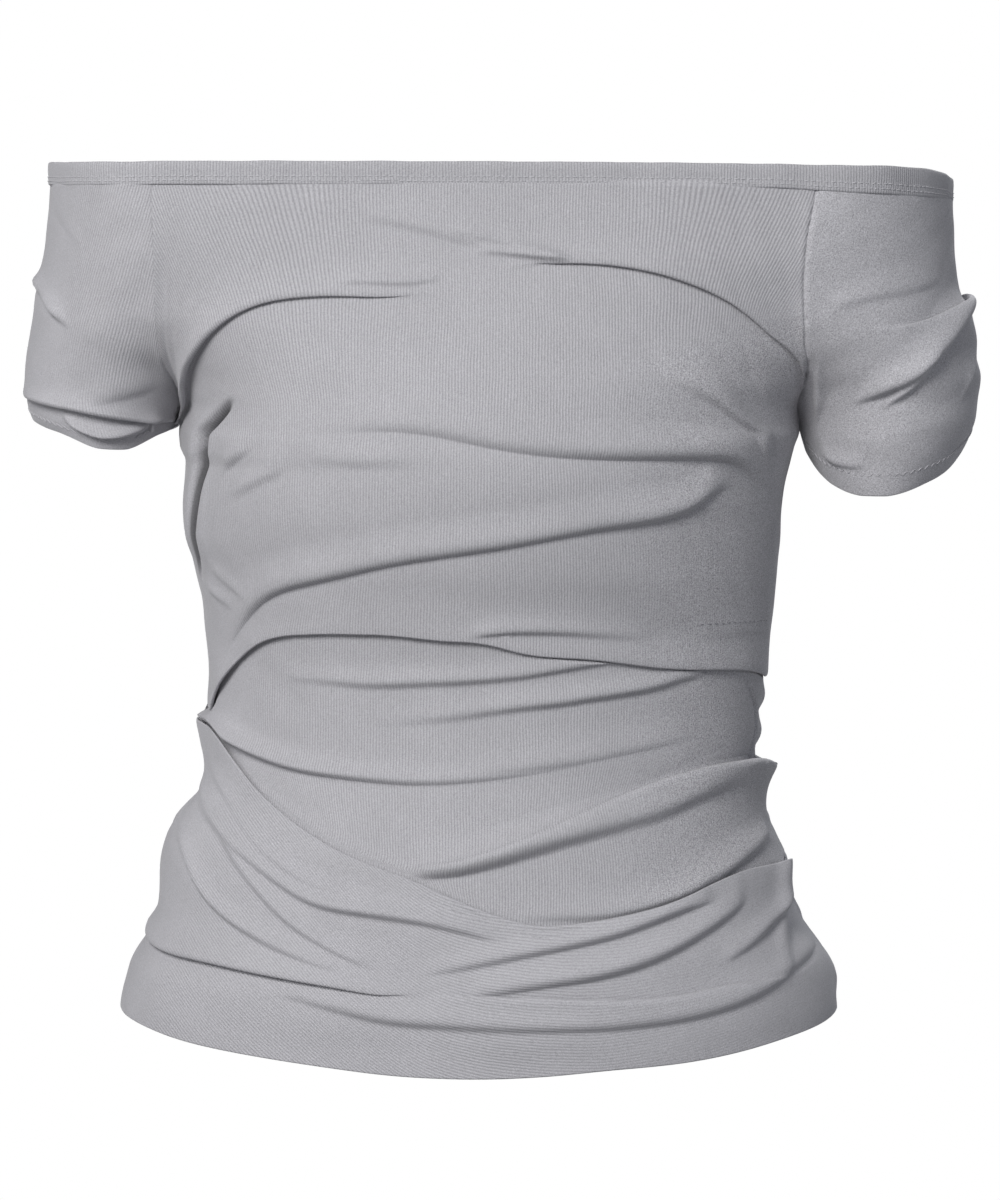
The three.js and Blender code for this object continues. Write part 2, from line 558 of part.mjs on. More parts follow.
const shifted = (line, by) => ({ height: (column) => line.height(column) + by });
const frontTop = { height: (across) => neckline(torsoPoint(-1, across, 0).x) - bandHeight - seamGap };
const front = (across, z) => torsoPoint(-1, across, z);
const back = (column, z) => torsoPoint(1, -column, z); // from outside, the back's left edge is the wearer's left seam
const seamInset = seamGap / 2 / frontUnit;
const frontEdges = [(z) => seamDirection("right", -1, z), (z) => seamDirection("left", -1, z)];
const backEdges = [(z) => seamDirection("left", 1, z), (z) => seamDirection("right", 1, z)];
function sleeveEdges(side) {
  const out = side === "right" ? -1 : 1;
  const edge = (facing) => (z) =>
    z <= armpitHeight ? new THREE.Vector3(-out, 0, 0) : seamDirection(side, facing, z);
  return side === "right" ? [edge(1), edge(-1)] : [edge(-1), edge(1)];
}

function frontBodice() {
  const lines = [frontTop, { ...yokeLine, turned: true }, bustLine.line, ribLine.line, bodiceLine];
  const grid = outerPoints({
    surface: front, lift: bodiceLift, lines, counts: [8, 7, 5, 7], columns: 32, from: -1 + seamInset, to: 1 - seamInset,
  });
  return wall("front_bodice", grid, clothThickness, colour.body, frontEdges);
}

function frontWaist() {
  const lines = [
    shifted(bodiceLine, tuck), shifted(bodiceLine, -2), shifted(rollLine.line, 5), rollLine.line,
    { ...pleatLine, turned: true }, shifted(wrapLine, 4), shifted(wrapLine, -tuck),
  ];
  const clear = 4; // keeps the lines of the side apart, where they run together
  const ordered = lines.map((line, k) => ({
    ...line,
    height: (column) => {
      let z = line.height(column);
      for (let above = 0; above < k; above++) z = Math.min(z, lines[above].height(column) - clear * (k - above));
      return z;
    },
  }));
  const grid = outerPoints({
    surface: front, lift: waistLift, lines: ordered, counts: [2, 7, 1, 3, 4, 2], columns: 30, from: -1 + seamInset, to: 1 - seamInset,
  });
  return wall("front_waist", grid, clothThickness, colour.body, frontEdges);
}

function frontWrap() {
  const lines = [wrapLine, { ...hemRollLine, turned: true }, hemLine];
  const grid = outerPoints({
    surface: front, lift: wrapLift, lines, counts: [13, 6], columns: 34, from: -1 + seamInset, to: 1 - seamInset,
  });
  return wall("front_hip_wrap", grid, clothThickness, colour.body, frontEdges);
}

function backPanel() {
  const top = { height: (column) => neckline(torsoPoint(1, -column, 0).x) - bandHeight - seamGap };
  const underarm = { height: () => armpitHeight + 9 };
  const hem = { height: () => hemEdge[0][1] };
  const grid = outerPoints({
    surface: back, lift: (column, z) => backLift(-column, z), lines: [top, underarm, hem], counts: [12, 27], columns: 22, from: -1 + seamInset, to: 1 - seamInset,
  });
  return wall("back_panel", grid, clothThickness, colour.body, backEdges);
}

function sleeve(side) {
  const facing = side === "right" ? -1 : 1; // columns run back to front on the right sleeve
  const surface = (column, z) => sleevePoint(side, facing * column, z);
  const top = { height: (column) => neckline(surface(column, 0).x) - bandHeight - seamGap };
  const cuff = { height: (column) => cuffs[side](facing * column) };
  const flap = { height: (column) => flapLine.height(facing * column), turned: true };
  const inset = (seamGap * 2) / sleeveUnit;
  const grid = outerPoints({
    surface,
    lift: (column, z) => sleeveLift(side, facing * column, z),
    lines: side === "left" ? [top, flap, cuff] : [top, cuff],
    counts: side === "left" ? [6, 10] : [16],
    columns: 22,
    from: -1 + inset,
    to: 1 - inset,
  });
  return wall(`${side}_sleeve`, grid, clothThickness, colour.body, sleeveEdges(side));
}

// The binding round the neckline: a closed ring with a flat, round-edged section, a little proud of the cloth.
function neckBand() {
  const stations = [];
  const run = (surface, count) => {
    for (let k = 0; k < count; k++) {
      const column = -1 + (2 * (k + 0.5)) / count;
      const z = -bandHeight / 2;
      stations.push({ at: surface(column, z), out: normalOf(surface, column, z) });
    }
  };
  run(front, 20);
  run((column, z) => sleevePoint("left", column, z), 11);
  run(back, 18);
  run((column, z) => sleevePoint("right", -column, z), 11);
  const section = [[0.5, 0], [1.1, -0.8], [1.2, -bandHeight + 0.9], [0.7, -bandHeight], [-1.3, -bandHeight], [-1.5, -bandHeight / 2], [-1, -0.1]];
  const positions = [];
  stations.forEach(({ at, out }) => {
    out.setZ(0).normalize();
    section.forEach(([proud, down]) => {
      const p = at.clone().addScaledVector(out, proud);
      positions.push(p.x, p.y, neckline(at.x) + down);
    });
  });
  const faces = [];
  const n = section.length;
  stations.forEach((_, k) => {
    const next = (k + 1) % stations.length;
    for (let i = 0; i < n; i++) {
      const j = (i + 1) % n;
      faces.push(k * n + i, k * n + j, next * n + j, k * n + i, next * n + j, next * n + i);
    }
  });
  return piece("neck_band", positions, faces, colour.band);
}

const top = new THREE.Group();
top.add(neckBand(), frontBodice(), frontWaist(), frontWrap(), backPanel(), sleeve("right"), sleeve("left"));
export default top;
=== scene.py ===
import math
from functools import partial

import bpy
import numpy as np
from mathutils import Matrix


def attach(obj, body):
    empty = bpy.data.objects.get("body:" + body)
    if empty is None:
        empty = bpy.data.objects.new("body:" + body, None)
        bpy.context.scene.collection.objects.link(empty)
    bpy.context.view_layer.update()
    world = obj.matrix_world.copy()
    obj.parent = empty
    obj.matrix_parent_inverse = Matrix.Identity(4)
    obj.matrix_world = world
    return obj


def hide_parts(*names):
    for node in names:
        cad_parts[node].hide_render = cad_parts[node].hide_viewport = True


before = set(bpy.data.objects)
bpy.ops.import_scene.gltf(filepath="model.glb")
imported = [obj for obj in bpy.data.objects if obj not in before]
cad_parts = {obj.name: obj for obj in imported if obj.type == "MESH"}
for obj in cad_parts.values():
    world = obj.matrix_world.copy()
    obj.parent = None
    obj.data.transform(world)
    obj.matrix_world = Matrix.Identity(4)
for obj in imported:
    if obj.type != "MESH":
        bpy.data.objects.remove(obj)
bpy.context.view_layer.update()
mm = 0.001
chance = np.random.default_rng(29)
print("frame loaded")

# The body as sections: half widths at the side seams, how far the middle stands from the side plane in front
# and behind, and the half angle of the arc in degrees.
torsoColumns = ["height", "right", "left", "front", "back", "arc"]
torsoSections = [
    [6, 154, 142, 86, 92, 56],
    [-15, 154, 139, 88, 94, 56],
    [-36, 153, 135, 91, 96, 57],
    [-56, 152.5, 133.5, 96, 98, 60],
    [-75, 151.5, 134, 102, 99, 65],
    [-88, 149, 136.5, 107, 99, 70],
    [-98, 146, 136.5, 111, 98, 75],
    [-108, 144.5, 135.5, 114, 97, 81],
    [-116, 146.5, 136.5, 115.5, 96, 86],
    [-122, 147.5, 137.5, 116, 95, 90],
    [-129, 147, 135, 116.8, 94, 90],
    [-136, 144.5, 133, 117, 93, 90],
    [-150, 145.3, 130.5, 116, 91, 90],
    [-165, 145.6, 129, 113, 88, 90],
    [-180, 141.6, 128, 109, 84, 90],
    [-195, 138, 127, 104, 80, 90],
    [-210, 136, 125, 99, 77, 90],
    [-230, 134.5, 122.6, 95, 75, 90],
    [-250, 134, 120.5, 94, 75, 90],
    [-270, 134.5, 119.5, 95, 77, 90],
    [-285, 138, 120.5, 98, 80, 90],
    [-298, 146.5, 122.5, 101, 85, 90],
    [-310, 153.5, 128, 104, 90, 90],
    [-325, 156, 135.5, 107, 95, 90],
    [-340, 157, 138.5, 110, 99, 90],
    [-355, 162, 145, 113, 102, 90],
    [-370, 171, 152, 115, 104, 90],
    [-388, 175, 156, 116, 105, 90],
    [-406, 176, 156.5, 116, 105, 90],
]
# The sleeves as sections: how far out their outer and inner sides are, half their depth, and the arc again.
sleeveColumns = ["height", "outer", "inner", "halfDepth", "arc"]
rightSleeveSections = [
    [6, 205.5, 154, 79, 90],
    [-15, 206, 154, 78, 91],
    [-36, 208, 153, 76, 95],
    [-56, 212, 152.5, 71, 104],
    [-75, 215, 151.5, 66, 116],
    [-88, 217, 149, 62, 128],
    [-98, 218, 146, 59, 139],
    [-108, 217.5, 144.5, 56, 153],
    [-116, 215, 146.5, 54, 168],
    [-122, 211, 147.8, 52, 180],
    [-135, 203, 156, 47, 180],
]
leftSleeveSections = [
    [6, 206, 142, 79, 90],
    [-15, 207, 139, 78, 91],
    [-36, 208, 135, 76, 95],
    [-56, 210, 133.5, 71, 104],
    [-75, 216, 134, 67, 116],
    [-88, 218, 136.5, 63, 128],
    [-98, 220.5, 136.5, 60, 139],
    [-108, 219.5, 135.5, 57, 153],
    [-116, 218.5, 136.5, 56, 168],
    [-122, 216.5, 137.8, 55, 180],
    [-135, 211, 141.5, 51, 180],
    [-150, 200, 147, 46, 180],
]
# Height of each cuff's edge, round the sleeve
cuffColumns = ["around", "right", "left"]
cuffEdge = [
    [-1, -119, -132],
    [-0.8, -122.5, -145.5],
    [-0.62, -128.5, -149.5],
    [-0.5, -128, -149.5],
    [-0.25, -120, -143],
    [0, -117, -131],
    [0.25, -122, -132],
    [0.5, -126.5, -134],
    [0.75, -125, -133],
    [1, -119, -132],
]

# Edges and folds of the front. A point of a line is its x, its height and how far the cloth stands out there.
# Below nought, a turned edge stands out under its line in place of over it. "reach" is how broad a fold is.
yokeFold = [
    [-146, -118, 3], [-140, -100, 5.2], [-134, -83.5, 4.8], [-123, -70.5, 3.2], [-109, -62.5, 2.6],
    [-95, -59.2, 2.5], [-75, -57.9, 2.3], [-55, -58.4, 1.7], [-40, -58.8, 0.6], [-24, -56.5, 0],
    [-4, -50, 0], [14, -44.6, 0.6], [30, -43.6, 2], [44, -44.2, 2.4], [66, -47.5, 2.9],
    [88, -54.5, 3.1], [102, -61.5, 2.8], [114, -71, 2.4], [126, -82, 2], [136, -91.5, 1.2],
]
bustFold = [
    [-145, -141, 0], [-120, -131, 0], [-80, -119, 0.1], [-50, -117, 1.2], [-26, -119.5, 1.7],
    [-4, -124.5, 2.1], [26, -128.5, 2.6], [53, -130, 3], [80, -130.5, 3.6], [96, -131.5, 3.8],
    [106, -134.5, 2.8], [113, -141, 1.6], [120, -152, 0.6], [126, -163, 0],
]
ribFold = [
    [-124, -222, 0], [-119.6, -216, 0.8], [-113.5, -206, 1.8], [-105.4, -196, 2.4],
    [-97.6, -190.7, 2.8], [-85, -186.6, 2.9], [-73, -183.4, 2.8], [-45, -176.3, 2.5],
    [-3, -169.5, 2.5], [22, -165, 2.5], [45, -161, 2.7], [68, -158, 3.2], [82, -154.5, 3.4],
    [92, -149, 2.4], [99, -143, 0.6], [110, -150, 0], [127, -180, 0],
]
bodiceEdge = [
    [-132, -249, 0.8], [-130, -243.5, 1.8], [-126, -236.5, 3.2], [-119, -226, 3.4],
    [-107.5, -214, 3.2], [-101, -210.5, 3], [-85, -208, 2.7], [-66, -207, 2.6], [-47, -207, 2.6],
    [-28, -209, 3.2], [-9, -209.5, 3.4], [11, -215.5, 2.8], [40, -218, 2.8], [74, -223.5, 3],
    [109, -227.5, 2.8], [121, -234, 1.6],
]
hipRoll = [
    [-135, -256, 3.2], [-129, -257.6, 4.6], [-121, -262, 5], [-111, -266.5, 4], [-99, -270, 3.4],
    [-86, -272.5, 3.1], [-61, -274.5, 2.4], [-40, -275.5, 1.9], [-21, -274.7, 1.5], [5, -271.7, 0.9],
    [26, -268.6, 0.3], [60, -262, 0], [90, -257, 0], [120, -260, 0],
]
waistPleat = [
    [-134.5, -270, 0], [-120, -275, 0], [-102, -282, 0], [-78, -295, 0], [-57, -304, 0],
    [-43, -309, -0.6], [-26, -310.5, -1.6], [0, -303, -2.2], [25, -293, -2.4], [51, -282, -2.8],
    [77, -273.6, -3.4], [98, -270, -4.4], [113, -270.5, -6.5], [121, -277, -9.5],
]
wrapEdge = [
    [-135, -256, -1.2], [-130, -258.4, -1.2], [-124, -264, -1.2], [-114, -275.5, -1.3],
    [-102, -287, -1.4], [-91, -294.6, -1.4], [-78, -302, -1.3], [-65, -308, -1.2], [-39, -316.5, -0.8],
    [-7, -330, -0.4], [18, -336.7, -0.4], [44, -334.5, -0.5], [71, -329.6, -0.8], [97, -321, -1.4],
    [111, -318, -2.4], [137, -321, -2.6],
]
hemRoll = [
    [-161, -352.5, 2.4], [-150, -357, 3.4], [-128, -358, 4], [-107, -360, 3.8], [-87, -362, 3.4],
    [-67, -364, 2.6], [-47, -366.5, 1], [-21, -366, -0.8], [-8, -367, -1.8], [25, -368, -2.8],
    [58, -369.6, -3], [77, -369, -2.8], [104, -366, -1.8], [119, -366, -0.8], [148, -358, 0],
]
hemEdge = [
    [-175, -387.5, 0], [-165, -389.5, 0], [-143, -393, 0], [-111, -396, 0], [-75, -399.2, 0],
    [-44, -401.8, 0], [-13, -402.6, 0], [26, -401.2, 0], [44, -399.6, 0], [80, -398, 0],
    [107, -395.3, 0], [130, -391.8, 0], [145, -389.6, 0], [156, -387, 0],
]
bodiceFolds = [
    {"reach": 5.5, "line": [[-127, -143, 0], [-121, -136, 1.2], [-113, -129.5, 1], [-106, -125, 0]]},
    {"reach": 6, "line": [[-124, -152.5, 0], [-113, -146, 1.1], [-101, -139.5, 1.2], [-90, -134.5, 0]]},
    {"reach": 6, "line": [[-88, -131, 0], [-62, -133, 0.7], [-30, -132, 0]]},
    {"reach": 3, "line": [[-134, -192, 0], [-129, -195, 0.9], [-124, -197.8, 0.9], [-116, -201, 0]]},
    {"reach": 3, "line": [[-133, -181, 0], [-126, -186.5, 0.9], [-118, -191.5, 1], [-109, -196.5, 0]]},
    {"reach": 4, "line": [
        [-18, -209, 0], [0, -206.5, 1.5], [23, -207, 1.3], [45, -209, 0.8], [70, -211.5, 0],
    ]},
    {"reach": 8, "line": [
        [66, -94, 0], [84, -101.5, 1.1], [97, -108, 2], [108, -117.5, 2.2], [115, -127, 1.4],
        [121, -138, 0],
    ]},
    {"reach": 6, "line": [
        [84, -86, 0], [100, -92, -0.4], [112, -100, -0.7], [121, -110, -0.7], [127, -121, 0],
    ]},
    {"reach": 5, "line": [[84, -211, 0], [100, -212, 0.3], [118, -213, 0.3], [123, -214, 0.1]]},
    {"reach": 6, "line": [[-66, -25, 0], [-46, -28, 0.7], [-20, -35, 0.9], [4, -41, 0]]},
    {"reach": 3.2, "line": [[-26, -30, 0], [-8, -34, 0.8], [8, -38, 1.1], [20, -41, 1], [30, -43, 0]]},
    {"reach": 2.6, "line": [
        [-16, -40, 0], [0, -40.5, 1.2], [14, -42.4, 2], [24, -43.6, 1.8], [34, -43.8, 0],
    ]},
    {"reach": 3.4, "line": [[-78, -54, 0], [-60, -53.5, 0.9], [-44, -54.5, 1.1], [-20, -51, 0]]},
]
waistFolds = [
    {"reach": 4.5, "line": [
        [-100, -231, 0], [-79, -231.5, 1], [-58, -232.7, 1.7], [-40, -231.5, 2], [-15, -230, 2],
        [10, -227.5, 1.8], [44, -222, 1.6], [66, -220, 0.8], [80, -220, 0],
    ]},
    {"reach": 5, "line": [
        [-60, -250, 0], [-34, -248, 0.7], [-15, -245.5, 1.3], [4, -242.5, 1.9], [23, -240.5, 2.2],
        [44, -237.6, 2.3], [57, -236, 2.3], [74, -233, 2], [86, -230, 1], [94, -230, 0],
    ]},
    {"reach": 8, "line": [
        [-44, -315, 0], [-28, -316, 3.2], [0, -310, 4], [25, -303, 3.8], [51, -296.5, 3.2],
        [71, -292, 3], [90, -285, 2.8], [106, -281, 1.4], [116, -284, 0],
    ]},
    {"reach": 5, "line": [
        [0, -334, 0], [44, -334, 1.4], [71, -330, 2], [97, -321, 2.6], [113, -313, 2.4],
        [124, -306, 1.2],
    ]},
    {"reach": 6, "line": [[-20, -270, 0], [20, -268, 0.8], [60, -262, 0.8], [90, -257, 0]]},
]
wrapFolds = [
    {"reach": 5, "line": [
        [-40, -359, 0], [-14, -355, 1.4], [0, -352, 2], [25, -347.5, 2.5], [51, -342.5, 2.8],
        [74, -335, 2.8], [88, -331, 1.6], [98, -329, 0],
    ]},
    {"reach": 6, "line": [
        [-20, -368, 0], [0, -366, 1.4], [19, -363, 2], [38, -361, 2.7], [58, -357, 3], [77, -350.5, 3],
        [92, -343, 2.6], [104, -336, 1.6], [112, -329, 0],
    ]},
    {"reach": 6, "line": [
        [-104, -368, 0], [-90, -371, 1], [-68, -376, 1.9], [-47, -380, 2.1], [-26, -381, 2],
        [0, -382, 1.9], [38, -382.5, 1.9], [77, -380.5, 2], [104, -376, 2.2], [119, -371, 2],
        [134, -364, 1.4], [148, -356, 0],
    ]},
    {"reach": 4.4, "line": [
        [-138, -286, 0], [-132, -298, 1.2], [-120, -306.5, 1.7], [-107, -316, 2], [-93, -325, 2.2],
        [-81, -330.5, 2.6], [-60, -333, 2.7], [-34, -336, 2.4], [-15, -340, 1.8], [6, -345, 0],
    ]},
    {"reach": 4.2, "line": [
        [-147, -300, 0], [-143, -312, 1.4], [-138, -323, 2], [-128, -335, 2.3], [-116, -342.5, 2.4],
        [-106, -347.5, 2], [-87, -354, 1.4], [-62, -360, 0],
    ]},
    {"reach": 3.6, "line": [
        [-137, -281, 0], [-127, -301, 1.2], [-111, -322, 1.7], [-95, -338, 1.9], [-73, -350, 1.7],
        [-50, -358, 0],
    ]},
    {"reach": 3.4, "line": [
        [-133, -272, 0], [-122, -290, 0.8], [-104, -309, 1.1], [-84, -321, 0.9], [-60, -326, 0],
    ]},
    {"reach": 5, "line": [
        [96, -358, 0], [111, -352, 1.8], [124, -342, 2.2], [134, -330, 1], [140, -322, 0],
    ]},
]

# Folds of the back: heights at the seams and the middle, reach, and lifts at the seams and the middle
backColumns = ["right", "middle", "left", "reach", "seamLift", "middleLift"]
backFolds = [
    [-70, -52, -66, 8, 0, 1],
    [-146, -128, -150, 8, 1.2, 2],
    [-160, -152, -164, 7, 1.4, 1.6],
    [-175, -180, -178, 7, 1.2, 2.2],
    [-190, -201, -192, 6, 1.4, 1.6],
    [-205, -217, -206, 6, 1.6, 2.2],
    [-222, -236, -221, 6, 2, 1.8],
    [-238, -252, -238, 5.5, 2.4, 2.2],
    [-254, -270, -254, 5.5, 2.6, 2],
    [-270, -288, -272, 6, 2.6, 2.4],
    [-289, -306, -288, 6.5, 2.4, 2],
    [-307, -327, -306, 7, 3, 2.6],
    [-328, -350, -326, 7.5, 2.8, 2.2],
    [-352, -374, -350, 7.5, 2.4, 1.8],
]

# Folds of the sleeves: a point is its place round the sleeve, its height and its lift.
rightSleeveFolds = [
    {"reach": 3.6, "line": [
        [-0.57, -76, 0], [-0.5, -72.5, 0.9], [-0.43, -69, 3], [-0.37, -65.5, 2.4], [-0.28, -60.5, 1.8],
        [-0.19, -57.5, 2.4], [-0.1, -56, 2.2], [0, -56, 1.6], [0.25, -62, 0],
    ]},
    {"reach": 9, "line": [[-0.62, -44, 0], [-0.5, -34, 0.5], [-0.36, -26, 0.6], [-0.2, -19, 0]]},
    {"reach": 7, "line": [[-0.9, -99, 0], [-0.78, -103.5, 0.9], [-0.65, -106.5, 1], [-0.5, -109, 0]]},
    {"reach": 2.8, "line": [
        [-0.87, -114.5, 0], [-0.79, -117, 1.4], [-0.7, -120.5, 2.2], [-0.62, -122.6, 3],
        [-0.546, -123.8, 3.4], [-0.47, -123, 3.2], [-0.42, -119.5, 2.6], [-0.36, -114.5, 0],
    ]},
    {"reach": 6, "line": [[0.2, -88, 0], [0.4, -82, 1.5], [0.6, -84, 1.5], [0.8, -94, 0]]},
    {"reach": 7, "line": [[-0.8, -92, 0], [-0.7, -84, 0.1], [-0.56, -79, 0.1], [-0.44, -80, 0]]},
]
rightSleeveRoll = [
    [-1, -115.5, 0], [-0.9, -116, 2], [-0.71, -114.5, 3.8], [-0.58, -112.3, 4.6], [-0.46, -109.5, 5],
    [-0.28, -107, 4.4], [-0.1, -105.5, 1.6], [0.1, -107, 0], [0.5, -113, 0], [1, -112, 0],
]
leftSleeveFolds = [
    {"reach": 7, "line": [
        [-0.76, -110, 0], [-0.66, -105.5, 2.2], [-0.57, -99, 3.6], [-0.42, -86, 4.2],
        [-0.27, -74, 4.4], [-0.14, -69, 2.4], [0, -70, 0],
    ]},
    {"reach": 4.5, "line": [
        [-0.64, -112, 0], [-0.58, -108, 2], [-0.53, -101, 2.8], [-0.48, -94, 1.8], [-0.42, -88, 0],
    ]},
    {"reach": 4.5, "line": [
        [-0.99, -88, 0], [-0.95, -97, 1.6], [-0.9, -108, 2], [-0.86, -118, 1.4], [-0.82, -126, 0],
    ]},
    {"reach": 4, "line": [[-0.84, -131, 0], [-0.76, -136.5, 1.6], [-0.66, -138, 1.2], [-0.58, -137, 0]]},
    {"reach": 6, "line": [[-0.9, -66, 0], [-0.76, -62, 0.8], [-0.5, -58, 0.8], [-0.3, -52, 0]]},
    {"reach": 6, "line": [[0.2, -92, 0], [0.4, -88, 1.5], [0.6, -92, 1.5], [0.8, -102, 0]]},
    {"reach": 6, "line": [[-0.3, -112, 0], [-0.2, -98, 1.2], [-0.12, -88, 1.2], [-0.02, -80, 0]]},
]
leftSleeveFlap = [
    [-1, -76, 0], [-0.78, -71.5, 0], [-0.66, -72.7, -0.5], [-0.52, -71.4, -1.4], [-0.355, -67, -2.6],
    [-0.165, -63, -4.2], [0, -61.5, -5], [0.25, -66, -2.4], [0.5, -72, 0], [1, -79, 0],
]

# How the cloth is laid on the sections
form = {
    "frontFlatness": 0.84,  # power of the cosine in plan: 1 is an ellipse
    "backFlatness": 0.8,
    "armpit": -122,
    "joining": 10,  # the height above it over which neighbours begin to share their normals
    "sharing": 16,  # how far from the seam they do
    "frontUnit": 185,  # about this many millimetres across for one unit of "across"
    "sleeveUnit": 130,
    "thickness": 0.7,
    "fineness": 1.0,  # share of the full number of rows and columns
}


# A smooth curve through points, with no overshoot: cubic pieces, whose slope at a point is the harmonic mean
# of the slopes on both sides, or nought at a peak.
def smoothCurve(xs, ys):
    xs = np.asarray(xs, float)
    ys = np.asarray(ys, float)
    step = np.diff(xs)
    slope = np.diff(ys) / step
    tangent = np.empty_like(ys)
    tangent[0] = slope[0]
    tangent[-1] = slope[-1]
    before, after = slope[:-1], slope[1:]
    same = before * after > 0
    total = np.where(same, before + after, 1)
    tangent[1:-1] = np.where(same, 2 * before * after / total, 0)

    def value(x):
        x = np.clip(np.asarray(x, float), xs[0], xs[-1])
        i = np.clip(np.searchsorted(xs, x, side="right") - 1, 0, len(step) - 1)
        h = step[i]
        t = (x - xs[i]) / h
        a = (1 + 2 * t) * (1 - t) ** 2
        b = t * (1 - t) ** 2 * h
        c = t * t * (3 - 2 * t)
        d = t * t * (t - 1) * h
        return a * ys[i] + b * tangent[i] + c * ys[i + 1] + d * tangent[i + 1]

    return value


# The columns of a table, by name, as smooth curves over its first column.
def curvesOf(columns, rows):
    ordered = sorted(rows)
    over = [row[0] for row in ordered]
    return {name: smoothCurve(over, [row[k + 1] for row in ordered]) for k, name in enumerate(columns[1:])}


# From 0 at low to 1 at high, level at both ends.
def smoothStep(x, low, high):
    t = np.clip((x - low) / (high - low), 0, 1)
    return t * t * (3 - 2 * t)


# A bell curve: 1 at nought, falling by an exponential of the square of the distance.
def bell(distance, width):
    return np.exp(-((distance / width) ** 2))


torso = curvesOf(torsoColumns, torsoSections)
arms = {
    "right": curvesOf(sleeveColumns, rightSleeveSections),
    "left": curvesOf(sleeveColumns, leftSleeveSections),
}
cuffs = curvesOf(cuffColumns, cuffEdge)


# The neckline's edge over x, near level and then down over the left shoulder, and the band's depth below it.
neckline = smoothCurve(
    [-206, -120, 0, 100, 140, 172, 189, 200, 207, 214],
    [0.2, 0.9, 0.6, -0.2, -0.9, -1.4, -2.4, -4.6, -7.3, -9],
)
bandDepth = smoothCurve([100, 130, 150, 172, 190, 200, 210], [10.5, 10.9, 11.8, 12.7, 13, 11.8, 10])


# How far the armhole seam stands in front of the side plane: half depth times the sine of the arm's arc.
def seamDepth(side, z):
    arm = arms[side]
    depth = arm["halfDepth"](z) * np.sin(np.radians(arm["arc"](z)))
    return np.where(z <= form["armpit"], 0, depth)


# A point of the body's smooth form. x is the half width times the sine of the place on the arc. y runs from
# the seam's depth to the middle's by a power of the cosine. facing is -1 in front and 1 behind.
def torsoPoint(facing, across, z):
    across, z = np.broadcast_arrays(np.asarray(across, float), np.asarray(z, float))
    arc = np.radians(torso["arc"](z))
    power = form["frontFlatness"] if facing < 0 else form["backFlatness"]
    ends = np.maximum(np.cos(arc), 0) ** power
    bulge = (np.maximum(np.cos(across * arc), 0) ** power - ends) / (1 - ends)
    half = np.where(across < 0, torso["right"](z), torso["left"](z))
    seam = np.where(across < 0, seamDepth("right", z), seamDepth("left", z))
    middle = torso["front"](z) if facing < 0 else torso["back"](z)
    x = half * np.sin(across * arc) / np.sin(arc)
    return np.stack([x, facing * (seam + (middle - seam) * bulge), z], -1)


# A point of a sleeve's smooth form: an ellipse round the arm. around is -0.5 in front, 0 outside, 0.5 behind.
def sleevePoint(side, around, z):
    around, z = np.broadcast_arrays(np.asarray(around, float), np.asarray(z, float))
    arm = arms[side]
    arc = np.radians(arm["arc"](z))
    radius = (arm["outer"](z) - arm["inner"](z)) / (1 - np.cos(arc))
    x = arm["outer"](z) - radius + radius * np.cos(around * arc)
    return np.stack([outward[side] * x, arm["halfDepth"](z) * np.sin(around * arc), z], -1)


outward = {"right": -1, "left": 1}  # the way out to each side, along X
bodyForms = {-1: partial(torsoPoint, -1), 1: partial(torsoPoint, 1)}
sleeveForms = {side: partial(sleevePoint, side) for side in outward}
frontForm, backForm = bodyForms[-1], bodyForms[1]


# A vector, or an array of them, with length 1.
def unit(v):
    return v / np.maximum(np.linalg.norm(v, axis=-1, keepdims=True), 1e-9)


# The outward normal of a form, from small steps down it and across it.
def normalOf(surface, column, z):
    step = 0.004
    over = surface(np.minimum(column + step, 1), z) - surface(np.maximum(column - step, -1), z)
    down = surface(column, z - 1) - surface(column, z + 1)
    return unit(np.cross(down, over))


# The body's form and the sleeve's outward normals at an armhole seam.
def seamNormals(facing, side, z):
    body = normalOf(bodyForms[facing], np.full_like(z, float(outward[side])), z) * -facing
    arm = normalOf(sleeveForms[side], np.full_like(z, float(facing)), z) * outward[side]
    return body, arm


# How lines are rounded and kept apart, in units of "across"
lineLook = {
    "heightRounding": 0.05,
    "liftRounding": 0.03,
    "apart": 0.001,  # least way from one point to the next
    "atSeam": -0.985,  # a line that starts past this runs on over the side seam at full height
    "past": 0.07,
}


# A curve through points with its corners rounded, by a moving average over a short way.
def rounded(xs, ys, way):
    curve = smoothCurve(xs, ys)
    fine = np.linspace(xs[0], xs[-1], 401)
    offset = np.linspace(-way, way, 15)
    low, high = fine - xs[0], xs[-1] - fine
    reach = np.minimum(1, np.minimum(low, high) / way)
    value = curve(fine[:, None] + offset * reach[:, None]).mean(1)
    return lambda x: np.interp(x, fine, value)


# A line's curves of height and lift over its places, and where it starts and ends.
def lineOf(at, z, lift):
    height = rounded(at, z, lineLook["heightRounding"])
    lift = rounded(at, lift, lineLook["liftRounding"])
    return {"height": height, "lift": lift, "start": at[0], "end": at[-1]}


# A line on the front. Its points are given by x, and their places on the arc follow by the arcsine.
def frontLine(points):
    x, z, lift = np.array(points, float).T
    half = np.where(x < 0, torso["right"](z), torso["left"](z))
    arc = np.radians(torso["arc"](z))
    at = np.sign(x) * np.arcsin(np.clip(np.abs(x) / half * np.sin(arc), 0, 1)) / arc
    apart = lineLook["apart"] * np.arange(len(at))
    at = np.maximum.accumulate(at - apart) + apart
    line = lineOf(at, z, lift)
    line["start"] = at[0] - (lineLook["past"] if at[0] < lineLook["atSeam"] else 0)
    return line


# A line on a sleeve, whose points are given round it already.
def aroundLine(points):
    return lineOf(*np.array(points, float).T)


